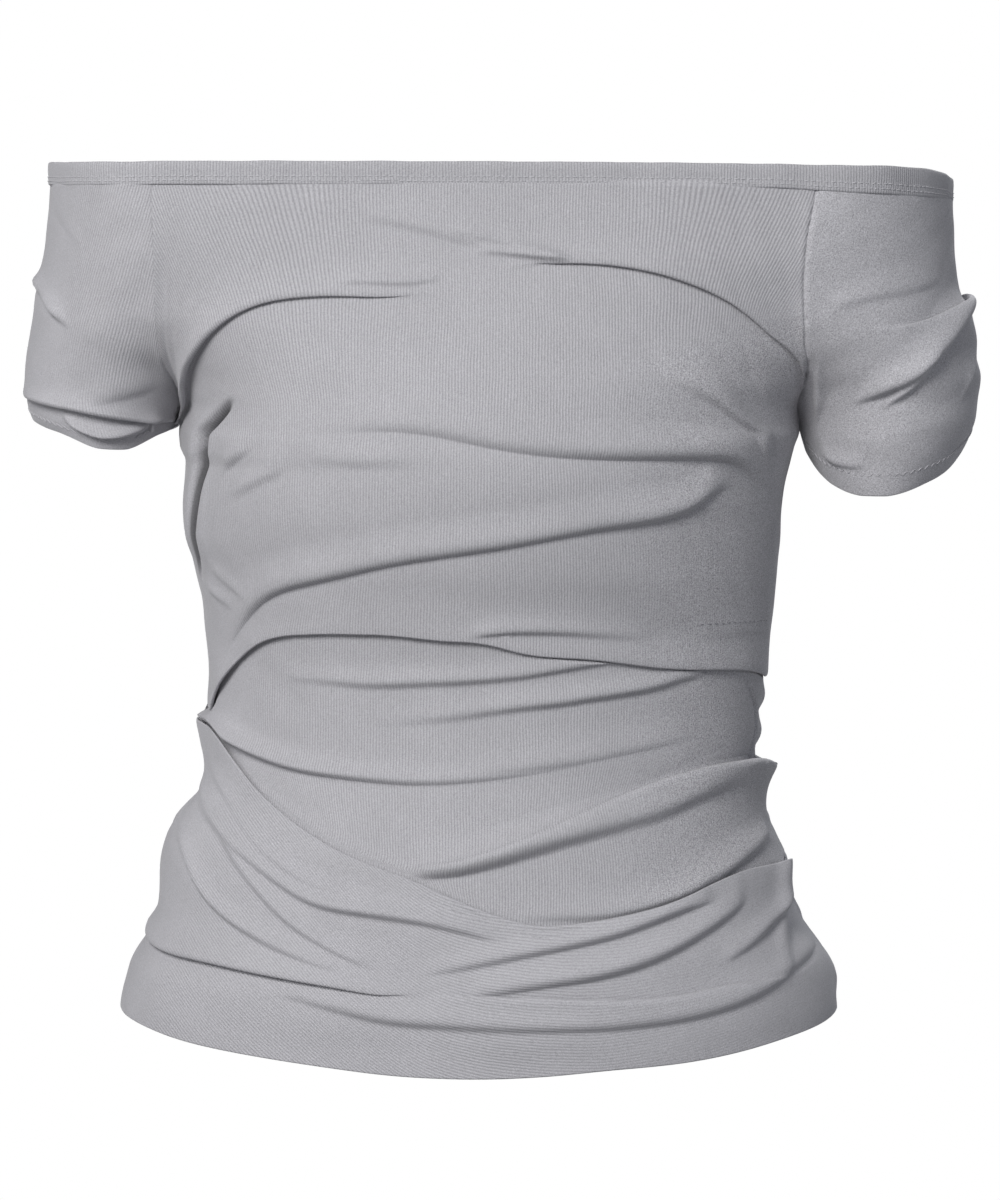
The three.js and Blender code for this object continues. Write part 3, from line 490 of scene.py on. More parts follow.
# The slope of a line, in millimetres of height for each millimetre across.
def slopeOf(line, column, unitLength):
    step = 0.01
    rise = line["height"](column + step) - line["height"](column - step)
    return rise / (2 * step * unitLength)


# Distance above a line, square to it.
def aboveLine(line, column, z, unitLength):
    return (z - line["height"](column)) / np.hypot(1, slopeOf(line, column, unitLength))


# Profiles of the folds, square to their lines. A width with "share" in its name is a share of the reach.
softProfile = {
    "foot": 0.6,  # how far the corner at the foot is rounded
    "height": 1.45,  # brings the crest to the fold's lift
    "riseShare": 0.34,
    "fallShare": 1.45,
    "crease": 0.16,  # depth of the sharp crease at the foot
    "creaseWidth": 1.1,
    "dip": 0.14,  # depth of the broad dip about it
    "dipShare": 0.7,
    "ends": 0.06,  # the way over which the fold rises at its ends
}
turnedProfile = {"groove": 0.3, "grooveShare": 0.7}


# A soft fold: a ridge that stands steeply on the line and falls slowly above it, and a narrow crease at its
# foot. The height is one less an exponential, times a bell curve of the distance above the line.
def softFold(fold, column, z, unitLength):
    line, reach, look = fold["line"], fold["reach"], softProfile
    d = aboveLine(line, column, z, unitLength)
    above = look["foot"] * np.log1p(np.exp(np.clip(d / look["foot"], -30, 30)))
    rise = 1 - np.exp(-above / (look["riseShare"] * reach))
    ridge = look["height"] * rise * bell(above, look["fallShare"] * reach)
    crease = look["crease"] * np.exp(-np.abs(d) / look["creaseWidth"])
    dip = look["dip"] * np.exp(-np.abs(d) / (look["dipShare"] * reach))
    starting = smoothStep(column, line["start"], line["start"] + look["ends"])
    ending = smoothStep(-column, -line["end"], look["ends"] - line["end"])
    return line["lift"](column) * (ridge - (crease + dip)) * (starting * ending)


# A turned edge away from its line: full height at the edge, falling by the square of the distance on the
# raised side, and a groove that dies out on the other.
def turnedFold(fold, column, z, unitLength):
    line, reach = fold["line"], fold["reach"]
    lift = line["lift"](column)
    size = np.abs(lift)
    d = aboveLine(line, column, z, unitLength) * np.where(lift < 0, -1, 1)
    raised = size / (1 + (np.maximum(d, 0) / reach) ** 2)
    fading = np.exp(np.minimum(d, 0) / (turnedProfile["grooveShare"] * reach))
    groove = -turnedProfile["groove"] * size * fading
    return np.where(d >= 0, raised, groove)


# A table of folds with curves in place of their points, all lifts made stronger by the same share.
def foldsOf(rows, makeLine, strength):
    return [
        {"reach": fold["reach"], "line": makeLine([[at, z, lift * strength] for at, z, lift in fold["line"]])}
        for fold in rows
    ]


# The lift of all the soft folds of a piece.
def sumOf(folds, column, z, unitLength):
    return sum(softFold(fold, column, z, unitLength) for fold in folds)


# Low waves over a piece: the range of their lengths, and the mean and spread of their angles
waves = {"count": 12, "length": (14, 46), "angle": (1.45, 0.35)}


# No part of a piece is quite even: a sum of slow sines at random angles.
def unevenness(x, z, seed):
    rng = np.random.default_rng(seed)
    total = 0
    for _ in range(waves["count"]):
        length = rng.uniform(*waves["length"])
        angle = rng.normal(*waves["angle"])
        phase = rng.uniform(0, 2 * math.pi)
        way = x * math.cos(angle) + z * math.sin(angle)
        total = total + np.sin(2 * math.pi * way / length + phase)
    return total / waves["count"] ** 0.5


# Large folds: turned edges and soft rolls
yoke = {"reach": 7, "line": frontLine(yokeFold)}
bust = {"reach": 9, "line": frontLine(bustFold)}
rib = {"reach": 7.5, "line": frontLine(ribFold)}
roll = {"reach": 4.2, "line": frontLine(hipRoll)}
pleat = {"reach": 9, "line": frontLine(waistPleat)}
hemTurn = {"reach": 7, "line": frontLine(hemRoll)}
flap = {"reach": 8, "line": aroundLine(leftSleeveFlap)}
cuffRoll = {"reach": 5, "line": aroundLine(rightSleeveRoll)}
bodiceLine, wrapLine, hemLine = frontLine(bodiceEdge), frontLine(wrapEdge), frontLine(hemEdge)

# Small folds
bodiceSoft = foldsOf(bodiceFolds, frontLine, 1.7)
waistSoft = foldsOf(waistFolds, frontLine, 1.35)
wrapSoft = foldsOf(wrapFolds, frontLine, 1.4)

# The upright fold under the right arm
sideGroove = {
    "column": -0.765,  # the grid's column that is led along it
    "across": smoothCurve(
        [-190, -175, -160, -145, -135, -125, -115, -105],
        [-0.86, -0.812, -0.784, -0.768, -0.752, -0.73, -0.707, -0.685],
    ),
    "depth": smoothCurve([-190, -176, -160, -140, -126, -114, -104], [0, 4, 6, 6.8, 6, 4, 0]),
    "width": smoothCurve([-186, -165, -145, -125, -104], [1.2, 1.3, 1.7, 2.8, 3]),
    "ridges": [(0.4, -8, 5), (0.2, 6, 4)],  # size, place and width of the ridges beside it
    "hollow": 0.45,  # a soft hollow about it, in its upper part
    "hollowWidth": 9,
    "hollowFrom": (-160, -130),
    "upper": (-136, -122),  # where its bottom comes into view
    # The shade below is painted into the cloth's colour along the groove, a painted shadow of the crease.
    "shadeWidth": 0.9,  # as a share of its width
    "shadeSpread": 0.35,  # how much wider the shade is below, and how far it lies to the side there
    "shadeShift": 2.3,
    "from": (-200, -186),  # where the columns begin and cease to follow it
    "to": (-106, -96),
    "pull": 0.11,  # how far off the columns are still led
}


# Distance from the groove towards the middle of the front.
def fromGroove(across, z):
    return (across - sideGroove["across"](z)) * form["frontUnit"]


# A slit with a soft hollow about it and a ridge on each side, all bell curves.
def grooveLift(across, z):
    d = fromGroove(across, z)
    slit = bell(d, sideGroove["width"](z))
    hollow = sideGroove["hollow"] * bell(d, sideGroove["hollowWidth"])
    hollow = hollow * smoothStep(z, *sideGroove["hollowFrom"])
    beside = sum(size * bell(d - at, width) for size, at, width in sideGroove["ridges"])
    return sideGroove["depth"](z) * (beside - slit - hollow)


# Shade painted along the groove, from 0 to 1: on its bottom, and on its far flank where the front lip hides
# the bottom.
def paintedGrooveShade(across, z):
    d = fromGroove(across, z)
    low = 1 - smoothStep(z, *sideGroove["upper"])
    width = sideGroove["shadeWidth"] * sideGroove["width"](z) + sideGroove["shadeSpread"] * low
    deep = np.clip(sideGroove["depth"](z) / 3, 0, 1)
    return deep * bell(d + sideGroove["shadeShift"] * low, width)


# Moves the columns near the groove so that they run along it, the less the further off they are.
def alongGroove(across, z):
    room = smoothStep(z, *sideGroove["from"]) * (1 - smoothStep(z, *sideGroove["to"]))
    near = bell(across - sideGroove["column"], sideGroove["pull"])
    return across + (sideGroove["across"](z) - sideGroove["column"]) * room * near


# Small gathers that run out from the left side seam, where the drapes are drawn together
gathers = {
    "pitch": 16.3,  # from one to the next, down the seam
    "size": 3.0,
    "level": 0.35,  # how high on its wave the cloth is at rest
    "run": 10,  # how far they run from the seam
    "slant": 0.2,
    "top": -237,
    "bottom": -271,
    "ends": 5,  # the way over which they begin and cease
    "crease": smoothCurve([-280, -268, -260, -250, -241, -232], [0.84, 0.85, 0.878, 0.86, 0.8, 0.72]),
    "creaseDepth": smoothCurve([-280, -266, -250, -240, -232], [0, 1.8, 2, 1.6, 0]),
    "creaseWidth": 2.4,
}


# Rounded swells between sharp valleys: the size of a sine, down the seam, falling away from it. An upright
# crease runs beside them.
def gatherLift(across, z):
    top, bottom, ends = gathers["top"], gathers["bottom"], gathers["ends"]
    inward = (1 - across) * form["frontUnit"]
    where = smoothStep(z, bottom - ends, bottom) * (1 - smoothStep(z, top, top + ends))
    down = z - top - inward * gathers["slant"]
    wave = np.abs(np.sin(math.pi * down / gathers["pitch"])) - gathers["level"]
    fromCrease = (across - gathers["crease"](z)) * form["frontUnit"]
    crease = gathers["creaseDepth"](z) * bell(fromCrease, gathers["creaseWidth"])
    return gathers["size"] * where * wave * np.exp(-((inward / gathers["run"]) ** 1.3)) - crease


# The hip wrap's left front edge
wrapCorner = {
    "x": 130,
    "depth": smoothCurve([-372, -358, -344, -328, -314, -300], [0, 1.2, 3.4, 5, 5.4, 5.4]),
    "step": (-1.5, 3),  # from where to where it steps back, from x
    "ridge": 0.5,
    "ridgeWidth": 3,
}


# The wrap steps back past that edge, by a smooth step across over part of its height, with a small ridge on
# the edge itself.
def cornerLift(across, z):
    x = torso["left"](z) * np.sin(np.maximum(across, 0) * np.radians(torso["arc"](z)))
    edge, width = wrapCorner["x"], wrapCorner["ridgeWidth"]
    ridge = wrapCorner["ridge"] * bell(x - edge + width, width)
    first, last = wrapCorner["step"]
    return wrapCorner["depth"](z) * (ridge - smoothStep(x, edge + first, edge + last))


# At the right side seam the wrap's top stands out as a step, and falls back below. At the left one the hem
# comes to a corner, and is cut back below it.
hipStep = {
    "lift": smoothCurve([-300, -286, -273, -264, -257, -250], [0, -2.6, 1.2, 3.4, 4.4, 3.2]),
    "width": 13,
}
hemCorner = {
    "lift": smoothCurve([-391, -386, -381, -376, -364], [-3.6, -3, 0.6, 1.8, 0]),
    "width": 8,
}


# Both steps at the side seams, each dying out by a bell curve from its seam.
def seamSteps(across, z):
    u = form["frontUnit"]
    return (
        hipStep["lift"](z) * bell((1 + across) * u, hipStep["width"])
        + hemCorner["lift"](z) * bell((1 - across) * u, hemCorner["width"])
    )


# The armhole seams
armhole = {
    "fadeDepth": 14,  # folds die out towards a seam, from so far below the armpit up
    "fadeWay": 9,  # and over this way from it
    "reach": 22,  # how far from a seam the cloth is filled out
    "fillFrom": (8, 46),  # above the armpit
    "topShare": 0.7,  # how much less it is filled near the neck band
    "topFrom": (-24, -9),
    "most": 0.5,  # steepest slope that is filled
    "dip": {  # how far the seam line is drawn in
        "right": smoothCurve([-124, -112, -84, -72, -12, 0], [0, 0.8, 0.6, 0.15, 0.1, 0]),
        "left": smoothCurve([-124, -112, -84, -40, -12, 0], [0, 0.9, 0.9, 0.8, 0.6, 0]),
    },
    "dipWidth": 1.5,
    "pucker": 0.4,  # how uneven the seam line is
}


# 0 at an armhole seam above the armpit, and 1 away from it and below.
def seamFade(column, z, unitLength):
    low = smoothStep(z, form["armpit"] - armhole["fadeDepth"], form["armpit"])
    return 1 - low * (1 - smoothStep((1 - np.abs(column)) * unitLength, 0, armhole["fadeWay"]))


# Half the corner between the body's form and the sleeve's at a seam, as a slope: hollow is above nought.
def cornerSlope(facing, side):
    z = np.linspace(-118, 0, 40)
    body, arm = seamNormals(facing, side, z)
    slope = np.clip(0.5 * (body - arm)[:, 0] * outward[side], 0, armhole["most"])
    return lambda h: np.interp(h, z, slope)


cornerSlopes = {(facing, side): cornerSlope(facing, side) for facing in bodyForms for side in outward}


# The cloth runs level over the armhole seams: both sides rise to the seam by the slope that evens the corner,
# and die out by an exponential away from it. The seam line itself is drawn in unevenly.
def armholeFill(column, z, unitLength, facing, side):
    away = (1 - np.abs(column)) * unitLength
    first, last = armhole["fillFrom"]
    room = smoothStep(z, form["armpit"] + first, form["armpit"] + last)
    room = room * (1 - armhole["topShare"] * smoothStep(z, *armhole["topFrom"]))
    pucker = 1 + armhole["pucker"] * np.sin(z * 0.9 + 2 * np.sin(z * 0.21))
    dip = armhole["dip"][side](z) * pucker * bell(away, armhole["dipWidth"])
    reach = armhole["reach"]
    return cornerSlopes[facing, side](z) * room * reach * np.exp(-away / reach) - dip


# The same for a whole panel of the body, from the seam on each point's own side.
def bodyFill(across, z, facing):
    right, left = (armholeFill(across, z, form["frontUnit"], facing, side) for side in outward)
    return np.where(across < 0, right, left)


# And for a whole sleeve, from its seam with the front or with the back.
def sleeveFill(side, around, z):
    front, back = (armholeFill(around, z, form["sleeveUnit"], facing, side) for facing in bodyForms)
    return np.where(around < 0, front, back)


# The three layers of the front
layers = {
    "bodice": {"soft": 1.3, "edgeReach": 9, "uneven": 0.22, "seed": 3},
    "wrap": {"rise": 1, "edgeReach": 8, "uneven": 0.25, "seed": 5},
    "waist": {
        "soft": 1.35,
        "rise": -0.4,
        "uneven": 0.22,
        "seed": 4,
        "hip": 2.4,  # how far it stands out at the right side seam, over the wrap's edge
        "hipWidth": 10,
        "hipFrom": (248, 252),  # depth below the neckline
        "underBodice": 3.1,  # how far under the bodice's edge it is held, and how steeply it comes out
        "bodiceSlope": 1.8,
        "bodiceClear": 0.6,
        "underWrap": 1.8,
        "wrapSlope": 0.9,
        "wrapClear": 0.4,
    },
}


# The bodice's lift: the sum of its turned edge, which may be given apart as its rows are special, its folds,
# its free edge falling by the square of the distance from it, and a little unevenness.
def bodiceLift(across, z, turned=None):
    u = form["frontUnit"]
    look = layers["bodice"]
    if turned is None:
        turned = turnedFold(yoke, across, z, u)
    edge = np.maximum(0, aboveLine(bodiceLine, across, z, u))
    lift = (
        turned
        + look["soft"] * softFold(bust, across, z, u)
        + look["soft"] * softFold(rib, across, z, u)
        + sumOf(bodiceSoft, across, z, u)
        + grooveLift(across, z)
        + bodiceLine["lift"](across) / (1 + (edge / look["edgeReach"]) ** 2)
        + gatherLift(across, z)
    )
    lift = lift + look["uneven"] * unevenness(across * u, z, look["seed"])
    return lift * seamFade(across, z, u) + bodyFill(across, z, -1)


# The wrap's lift, summed in the same way, with its corner and the steps at the seams.
def wrapLift(across, z, turned=None):
    u = form["frontUnit"]
    look = layers["wrap"]
    if turned is None:
        turned = turnedFold(hemTurn, across, z, u)
    edge = np.maximum(0, -aboveLine(wrapLine, across, z, u))
    lift = look["rise"] - wrapLine["lift"](across) / (1 + (edge / look["edgeReach"]) ** 2)
    lift = lift + turned + sumOf(wrapSoft, across, z, u) + cornerLift(across, z) + seamSteps(across, z)
    return lift + look["uneven"] * unevenness(across * u, z, look["seed"])


# The waist's own lift, held down under the edges of the bodice and the wrap, and rising away from them.
def waistLift(across, z, turned=None):
    u = form["frontUnit"]
    look = layers["waist"]
    if turned is None:
        turned = turnedFold(pleat, across, z, u)
    free = look["soft"] * softFold(roll, across, z, u) + turned
    free = free + sumOf(waistSoft, across, z, u) + look["rise"]
    hip = look["hip"] * (bell((1 + across) * u, look["hipWidth"]) * smoothStep(-z, *look["hipFrom"]))
    free = free + hip + gatherLift(across, z) + look["uneven"] * unevenness(across * u, z, look["seed"])
    pastBodice = -aboveLine(bodiceLine, across, z, u) - look["bodiceClear"]
    pastWrap = aboveLine(wrapLine, across, z, u) - look["wrapClear"]
    underBodice = bodiceLift(across, np.maximum(z, bodiceLine["height"](across))) - look["underBodice"]
    underWrap = wrapLift(across, np.minimum(z, wrapLine["height"](across))) - look["underWrap"]
    held = np.minimum(free, underBodice + look["bodiceSlope"] * np.maximum(0, pastBodice))
    return np.minimum(held, underWrap + look["wrapSlope"] * np.maximum(0, pastWrap))


# The back's own gathers, each a line of five points from the right seam to the left one.
def backFold(row):
    fold = dict(zip(backColumns, row))
    right, middle, left = fold["right"], fold["middle"], fold["left"]
    seamLift, middleLift = fold["seamLift"], fold["middleLift"]
    at = np.array([-1.0, -0.55, 0.0, 0.55, 1.0])
    height = np.array([right, 0.45 * right + 0.55 * middle, middle, 0.45 * left + 0.55 * middle, left])
    lift = np.array([seamLift, 0.75 * middleLift, middleLift, 0.8 * middleLift, seamLift])
    return {"reach": fold["reach"], "line": lineOf(at, height, lift)}


backSoft = [backFold(row) for row in backFolds]
backLook = {"uneven": 0.25, "seed": 6, "seamWay": 30}  # the last: the way over which it runs into the front


# The front's lift at the side seams, from whichever layer shows there.
def sideSeamLift(across, z):
    lift = np.where(z > wrapLine["height"](across), waistLift(across, z), wrapLift(across, z))
    return np.where(z > bodiceLine["height"](across), bodiceLift(across, z), lift)


# The back's own lift inside, run into the front's at the side seams, with the armholes' fill over both.
def backLift(across, z):
    u = form["frontUnit"]
    uneven = backLook["uneven"] * unevenness(across * u, z, backLook["seed"])
    own = seamFade(across, z, u) * (sumOf(backSoft, across, z, u) + uneven)
    inside = smoothStep((1 - np.abs(across)) * u, 0, backLook["seamWay"])
    seam = sideSeamLift(np.where(across < 0, -1.0, 1.0), z)
    fade = smoothStep(z, form["armpit"], form["armpit"] + form["joining"])
    seam = seam - bodyFill(np.sign(across), z, -1)
    return own * inside + seam * (1 - inside) + bodyFill(across, z, 1) * np.maximum(fade, inside)


# What differs between the two sleeves
sleeveLook = {
    "right": {
        "turned": cuffRoll,
        "soft": foldsOf(rightSleeveFolds, aroundLine, 1.3),
        "uneven": 0.2,
        "seed": 8,
        "counts": [90, 28],  # rows above and below the turned fold
        "flat": (0.26, 0.13),
        "stitchRise": 4.6,  # how far above the cuff's edge its stitches run
    },
    "left": {
        "turned": flap,
        "soft": foldsOf(leftSleeveFolds, aroundLine, 1.3),
        "uneven": 0.2,
        "seed": 7,
        "counts": [50, 78],
        "flat": (0.27, 0.15),
        "stitchRise": 9.5,
    },
}


# A sleeve's lift: its turned fold, its soft folds and a little unevenness, dying out to the filled armhole.
def sleeveLift(side, around, z, turned=None):
    u = form["sleeveUnit"]
    look = sleeveLook[side]
    lift = sumOf(look["soft"], around, z, u)
    if turned is None:
        turned = turnedFold(look["turned"], around, z, u)
    lift = lift + turned
    lift = lift + look["uneven"] * unevenness(around * u, z, look["seed"])
    return lift * seamFade(around, z, u) + sleeveFill(side, around, z)


# The way a turned edge folds over itself, from above its line to below it: distance from the line, the share
# of the undercut added to it, and height as a share of the lift.
turnProfile = np.array([
    [1.6, 0, 0.95], [0.9, 0, 0.94], [0.3, 0, 0.9], [-0.3, 0, 0.82], [-0.7, 0, 0.68], [-0.8, 0, 0.5],
    [-0.5, 0.1, 0.36], [0, 0.5, 0.26], [0, 0.9, 0.16], [0, 1, 0.04], [0, 0.7, -0.1], [-0.6, 0.3, -0.18],
    [-1.1, 0.1, -0.21], [-1.6, 0, -0.22],
])

# Returns of the cloth at free edges: how far past the edge and how far in
edgeReturns = {
    "lip": np.array([[-0.45, -0.25], [-0.7, -0.8], [-0.45, -1.35], [0.5, -1.75], [2.5, -1.95], [8, -2.1]]),
    "flat": np.array([[-0.3, -0.15], [-0.45, -0.5], [-0.2, -0.8], [1, -0.9], [6, -0.9]]),
    "hem": np.array([[-0.4, -0.2], [-0.6, -0.7], [-0.3, -1.15], [0.8, -1.35], [4, -1.4], [9, -1.4]]),
    "band": np.array([[-0.3, -0.25], [-1, -0.7], [-3, -0.8]]),
}


rowLook = {
    "plain": 0.35,  # how much the rows between two lines are evenly spaced; the rest crowds to the lines
    "crowded": 0.65,
    "steepest": 3,  # most that a turned edge is stretched where its line is steep
    "turnsFrom": (0.3, 1.8),  # lifts at which an edge begins to turn under, and does so in full
    "under": 0.42,  # how far it is undercut, for its lift, and the most of it
    "mostUnder": 3.2,
}


# A piece's rows: the heights between its lines, with the turned edge's own rows in place of its line, and
# returns past a free edge at the top or the bottom. Gives heights, the turned edge's lift there, and how far
# in each row lies.
def rowsOf(plan, column, unitLength):
    heights, lifts, insets = [], [], []
    lines = plan["lines"]
    turned = lines[plan["turnedAt"]] if "turnedAt" in plan else None

    def add(z, lift=None, inset=0.0):
        heights.append(z)
        lifts.append(np.full_like(column, np.nan) if lift is None else lift)
        insets.append(np.full_like(column, inset))

    if plan.get("topReturn"):
        edge = lines[0]["height"](column)
        for past, into in edgeReturns[plan["topReturn"]][::-1]:
            add(edge - past, None, into)
    for k, count in enumerate(plan["counts"]):
        count = max(2, round(count * form["fineness"]))
        top, bottom = lines[k]["height"](column), lines[k + 1]["height"](column)
        stretch = np.ones_like(column)
        if lines[k] is turned or lines[k + 1] is turned:
            stretch = np.minimum(np.hypot(1, slopeOf(turned, column, unitLength)), rowLook["steepest"])
        if lines[k] is turned:
            top = top - turnProfile[0, 0] * stretch
        if lines[k + 1] is turned:
            bottom = bottom + turnProfile[0, 0] * stretch
        i = np.arange(0 if k == 0 else 1, count + (0 if lines[k + 1] is turned else 1)) / count
        share = rowLook["plain"] * i + rowLook["crowded"] * 0.5 * (1 - np.cos(math.pi * i))
        for s in share:
            add(top + (bottom - top) * s)
        if lines[k + 1] is turned:
            lift = turned["lift"](column)
            size = np.abs(lift)
            amount = smoothStep(size, *rowLook["turnsFrom"])
            under = np.minimum(rowLook["under"] * size, rowLook["mostUnder"])
            even = np.linspace(turnProfile[0, 0], -turnProfile[0, 0], len(turnProfile))
            line = turned["height"](column)
            for plain, down, up in zip(even, turnProfile, turnProfile[::-1]):
                d = np.where(lift < 0, -(up[0] + up[1] * under), down[0] + down[1] * under)
                h = np.where(lift < 0, up[2], down[2]) * size
                d = plain * (1 - amount) + d * amount
                add(line + d * stretch, h)
    if plan.get("bottomReturn"):
        edge = lines[-1]["height"](column)
        for past, into in edgeReturns[plan["bottomReturn"]]:
            add(edge + past, None, into)
    return np.array(heights), np.array(lifts), np.array(insets)


# The outer points of a piece: its form, moved out along the normal by the lift. Its rows run down, and its
# columns left to right as seen from outside. Near an armhole the normal turns to the one both pieces share.
def clothGrid(plan):
    columns = round(plan["columns"] * form["fineness"])
    column = np.linspace(-1, 1, columns + 1)
    column = np.concatenate([column, [-0.9975, -0.9925, 0.9925, 0.9975], plan.get("extra", [])])
    column = np.unique(np.round(column, 5))
    facing = plan.get("mirror", 1)
    own = facing * column
    z, turned, inset = rowsOf(plan, own, plan["unit"])
    own = plan["warp"](own, z) if "warp" in plan else np.broadcast_to(own, z.shape)
    surface = plan["surface"]
    if "turned" in plan:
        plain = turnedFold(plan["turned"], own, z, plan["unit"])
        lift = plan["lift"](own, z, np.where(np.isnan(turned), plain, turned))
    else:
        lift = plan["lift"](own, z)
    base = surface(own, z)
    normal = normalOf(surface, own, z) * facing
    for end, seam in ((0, plan["seams"][0]), (-1, plan["seams"][1])):
        away = np.abs(column - column[end]) * plan["unit"]
        share = bell(away, form["sharing"]) * smoothStep(z, form["armpit"], form["armpit"] + form["joining"])
        share = share[..., None]
        body, arm = seamNormals(*seam, z[:, [end]])
        normal = unit(normal * (1 - share) + share * unit(body + arm))
    points = base + normal * (lift + inset)[..., None]
    # Shade painted into the colour along a groove, where the plan has one.
    shade = plan["shade"](own, z) if "shade" in plan else np.zeros_like(z)
    return points, base, normal, shade


allowance = {"lean": 0.25, "inward": 0.05, "depths": (0.35, 0.9, 4)}


# Closes the sides: the edge columns again, turned in by a seam allowance, leaning a little inward.
def withAllowance(points, base, normal):
    sides = []
    for at, other in ((0, 3), (-1, -4)):
        inward = unit(points[:, other] - points[:, at])
        turn = unit(-normal[:, at] + allowance["lean"] * inward)
        start = points[:, at]
        sides.append([start + turn * depth + inward * allowance["inward"] for depth in allowance["depths"]])
    first = np.stack(sides[0][::-1], 1)
    last = np.stack(sides[1], 1)
    return np.concatenate([first, points, last], 1)


# Distances along a grid's rows from its middle column, and down its columns.
def lengthsOf(base):
    step = np.linalg.norm(np.diff(base, axis=1), axis=-1)
    along = np.concatenate([np.zeros((len(base), 1)), np.cumsum(step, 1)], 1)
    along = along - along[:, [base.shape[1] // 2]]
    fall = np.linalg.norm(np.diff(base, axis=0), axis=-1)
    down = np.concatenate([np.zeros((1, base.shape[1])), np.cumsum(fall, 0)], 0)
    return along, down


# One mesh from vertices, quads, triangles and a map, all as arrays. A third number of the map is the shade
# painted along a groove, kept as an attribute.
def meshOf(name, vertices, quads, triangles, uv, material):
    mesh = bpy.data.meshes.new(name)
    mesh.vertices.add(len(vertices))
    mesh.vertices.foreach_set("co", (vertices * mm).astype(np.float32).ravel())
    corners = np.concatenate([quads.ravel(), triangles.ravel()]).astype(np.int32)
    starts = np.concatenate([np.arange(len(quads)) * 4, len(quads) * 4 + np.arange(len(triangles)) * 3])
    mesh.loops.add(len(corners))
    mesh.loops.foreach_set("vertex_index", corners)
    mesh.polygons.add(len(starts))
    mesh.polygons.foreach_set("loop_start", starts.astype(np.int32))
    mesh.update(calc_edges=True)
    layer = mesh.uv_layers.new(name="cloth")
    layer.data.foreach_set("uv", (uv[corners, :2] * mm).astype(np.float32).ravel())
    if uv.shape[1] == 3:
        shade = mesh.attributes.new("shade", "FLOAT", "POINT")
        shade.data.foreach_set("value", (uv[:, 2] * mm).astype(np.float32))
    mesh.polygons.foreach_set("use_smooth", np.ones(len(starts), bool))
    mesh.materials.append(material)
    mesh.validate()
    mesh.update()
    piece = bpy.data.objects.new(name, mesh)
    bpy.context.scene.collection.objects.link(piece)
    return piece


# A grid with an odd number of rows and columns: where one is even, one more is put in halfway to the last.
def oddGrid(grid):
    if grid.shape[0] % 2 == 0:
        grid = np.concatenate([grid, grid[-1:]])
        grid[-2] = (grid[-3] + grid[-1]) / 2
    if grid.shape[1] % 2 == 0:
        grid = np.concatenate([grid, grid[:, -1:]], 1)
        grid[:, -2] = (grid[:, -3] + grid[:, -1]) / 2
    return grid


# The quads of a grid of point numbers, going down and then across.
def quadsOf(index):
    return np.stack([index[:-1, :-1], index[1:, :-1], index[1:, 1:], index[:-1, 1:]], -1).reshape(-1, 4)


# A closed thin wall: the outer grid, every second point of it moved in, and a strip that joins the borders.
def clothWall(name, points, uv, thickness, material):
    points, uv = oddGrid(points), oddGrid(uv)
    rows, columns = points.shape[:2]
    down, over = np.gradient(points, axis=0), np.gradient(points, axis=1)
    inward = -unit(np.cross(down, over))
    inner = (points + inward * thickness)[::2, ::2]
    innerRows, innerColumns = inner.shape[:2]
    outerIndex = np.arange(rows * columns).reshape(rows, columns)
    innerIndex = rows * columns + np.arange(innerRows * innerColumns).reshape(innerRows, innerColumns)
    outerQuads, innerQuads = quadsOf(outerIndex), quadsOf(innerIndex)[:, [0, 3, 2, 1]]
    rim = []
    for outerRun, innerRun in (
        (outerIndex[0], innerIndex[0]),
        (outerIndex[:, -1], innerIndex[:, -1]),
        (outerIndex[-1, ::-1], innerIndex[-1, ::-1]),
        (outerIndex[::-1, 0], innerIndex[::-1, 0]),
    ):
        a, b, c = outerRun[:-2:2], outerRun[1:-1:2], outerRun[2::2]
        p, q = innerRun[:-1], innerRun[1:]
        rim += [np.stack([a, b, p], 1), np.stack([b, q, p], 1), np.stack([b, c, q], 1)]
    vertices = np.concatenate([points.reshape(-1, 3), inner.reshape(-1, 3)])
    maps = np.concatenate([uv.reshape(-1, 3), uv[::2, ::2].reshape(-1, 3)])
    quads = np.concatenate([outerQuads, innerQuads])
    return meshOf(name, vertices, quads, np.concatenate(rim), maps, material)


# A node with its settings and its inputs, by socket name or number: an output of another node is linked, and
# anything else is the input's own value.
def addNode(tree, kind, settings=None, **inputs):
    node = tree.nodes.new(kind)
    for key, value in (settings or {}).items():
        setattr(node, key, value)
    for key, value in inputs.items():
        byNumber = key[0] == "i" and key[1:].isdigit()
        socket = node.inputs[int(key[1:]) if byNumber else key.replace("_", " ")]
        if isinstance(value, bpy.types.NodeSocket):
            tree.links.new(value, socket)
        else:
            socket.default_value = value
    return node


# The output of a math node.
def mathOf(tree, operation, *inputs):
    values = {f"i{k}": value for k, value in enumerate(inputs)}
    return addNode(tree, "ShaderNodeMath", {"operation": operation}, **values).outputs[0]


# The output of noise over the piece.
def noiseOf(tree, place, scale, detail, roughness=0.5):
    noise = addNode(
        tree, "ShaderNodeTexNoise", Vector=place, Scale=scale, Detail=detail, Roughness=roughness,
    )
    return noise.outputs[0]


# A value mapped from one range to another, along a straight line or as the settings say.
def mapped(tree, value, low, high, newLow=0.0, newHigh=1.0, **settings):
    node = addNode(
        tree, "ShaderNodeMapRange", settings, Value=value, i1=low, i2=high, i3=newLow, i4=newHigh,
    )
    return node.outputs["Result"]


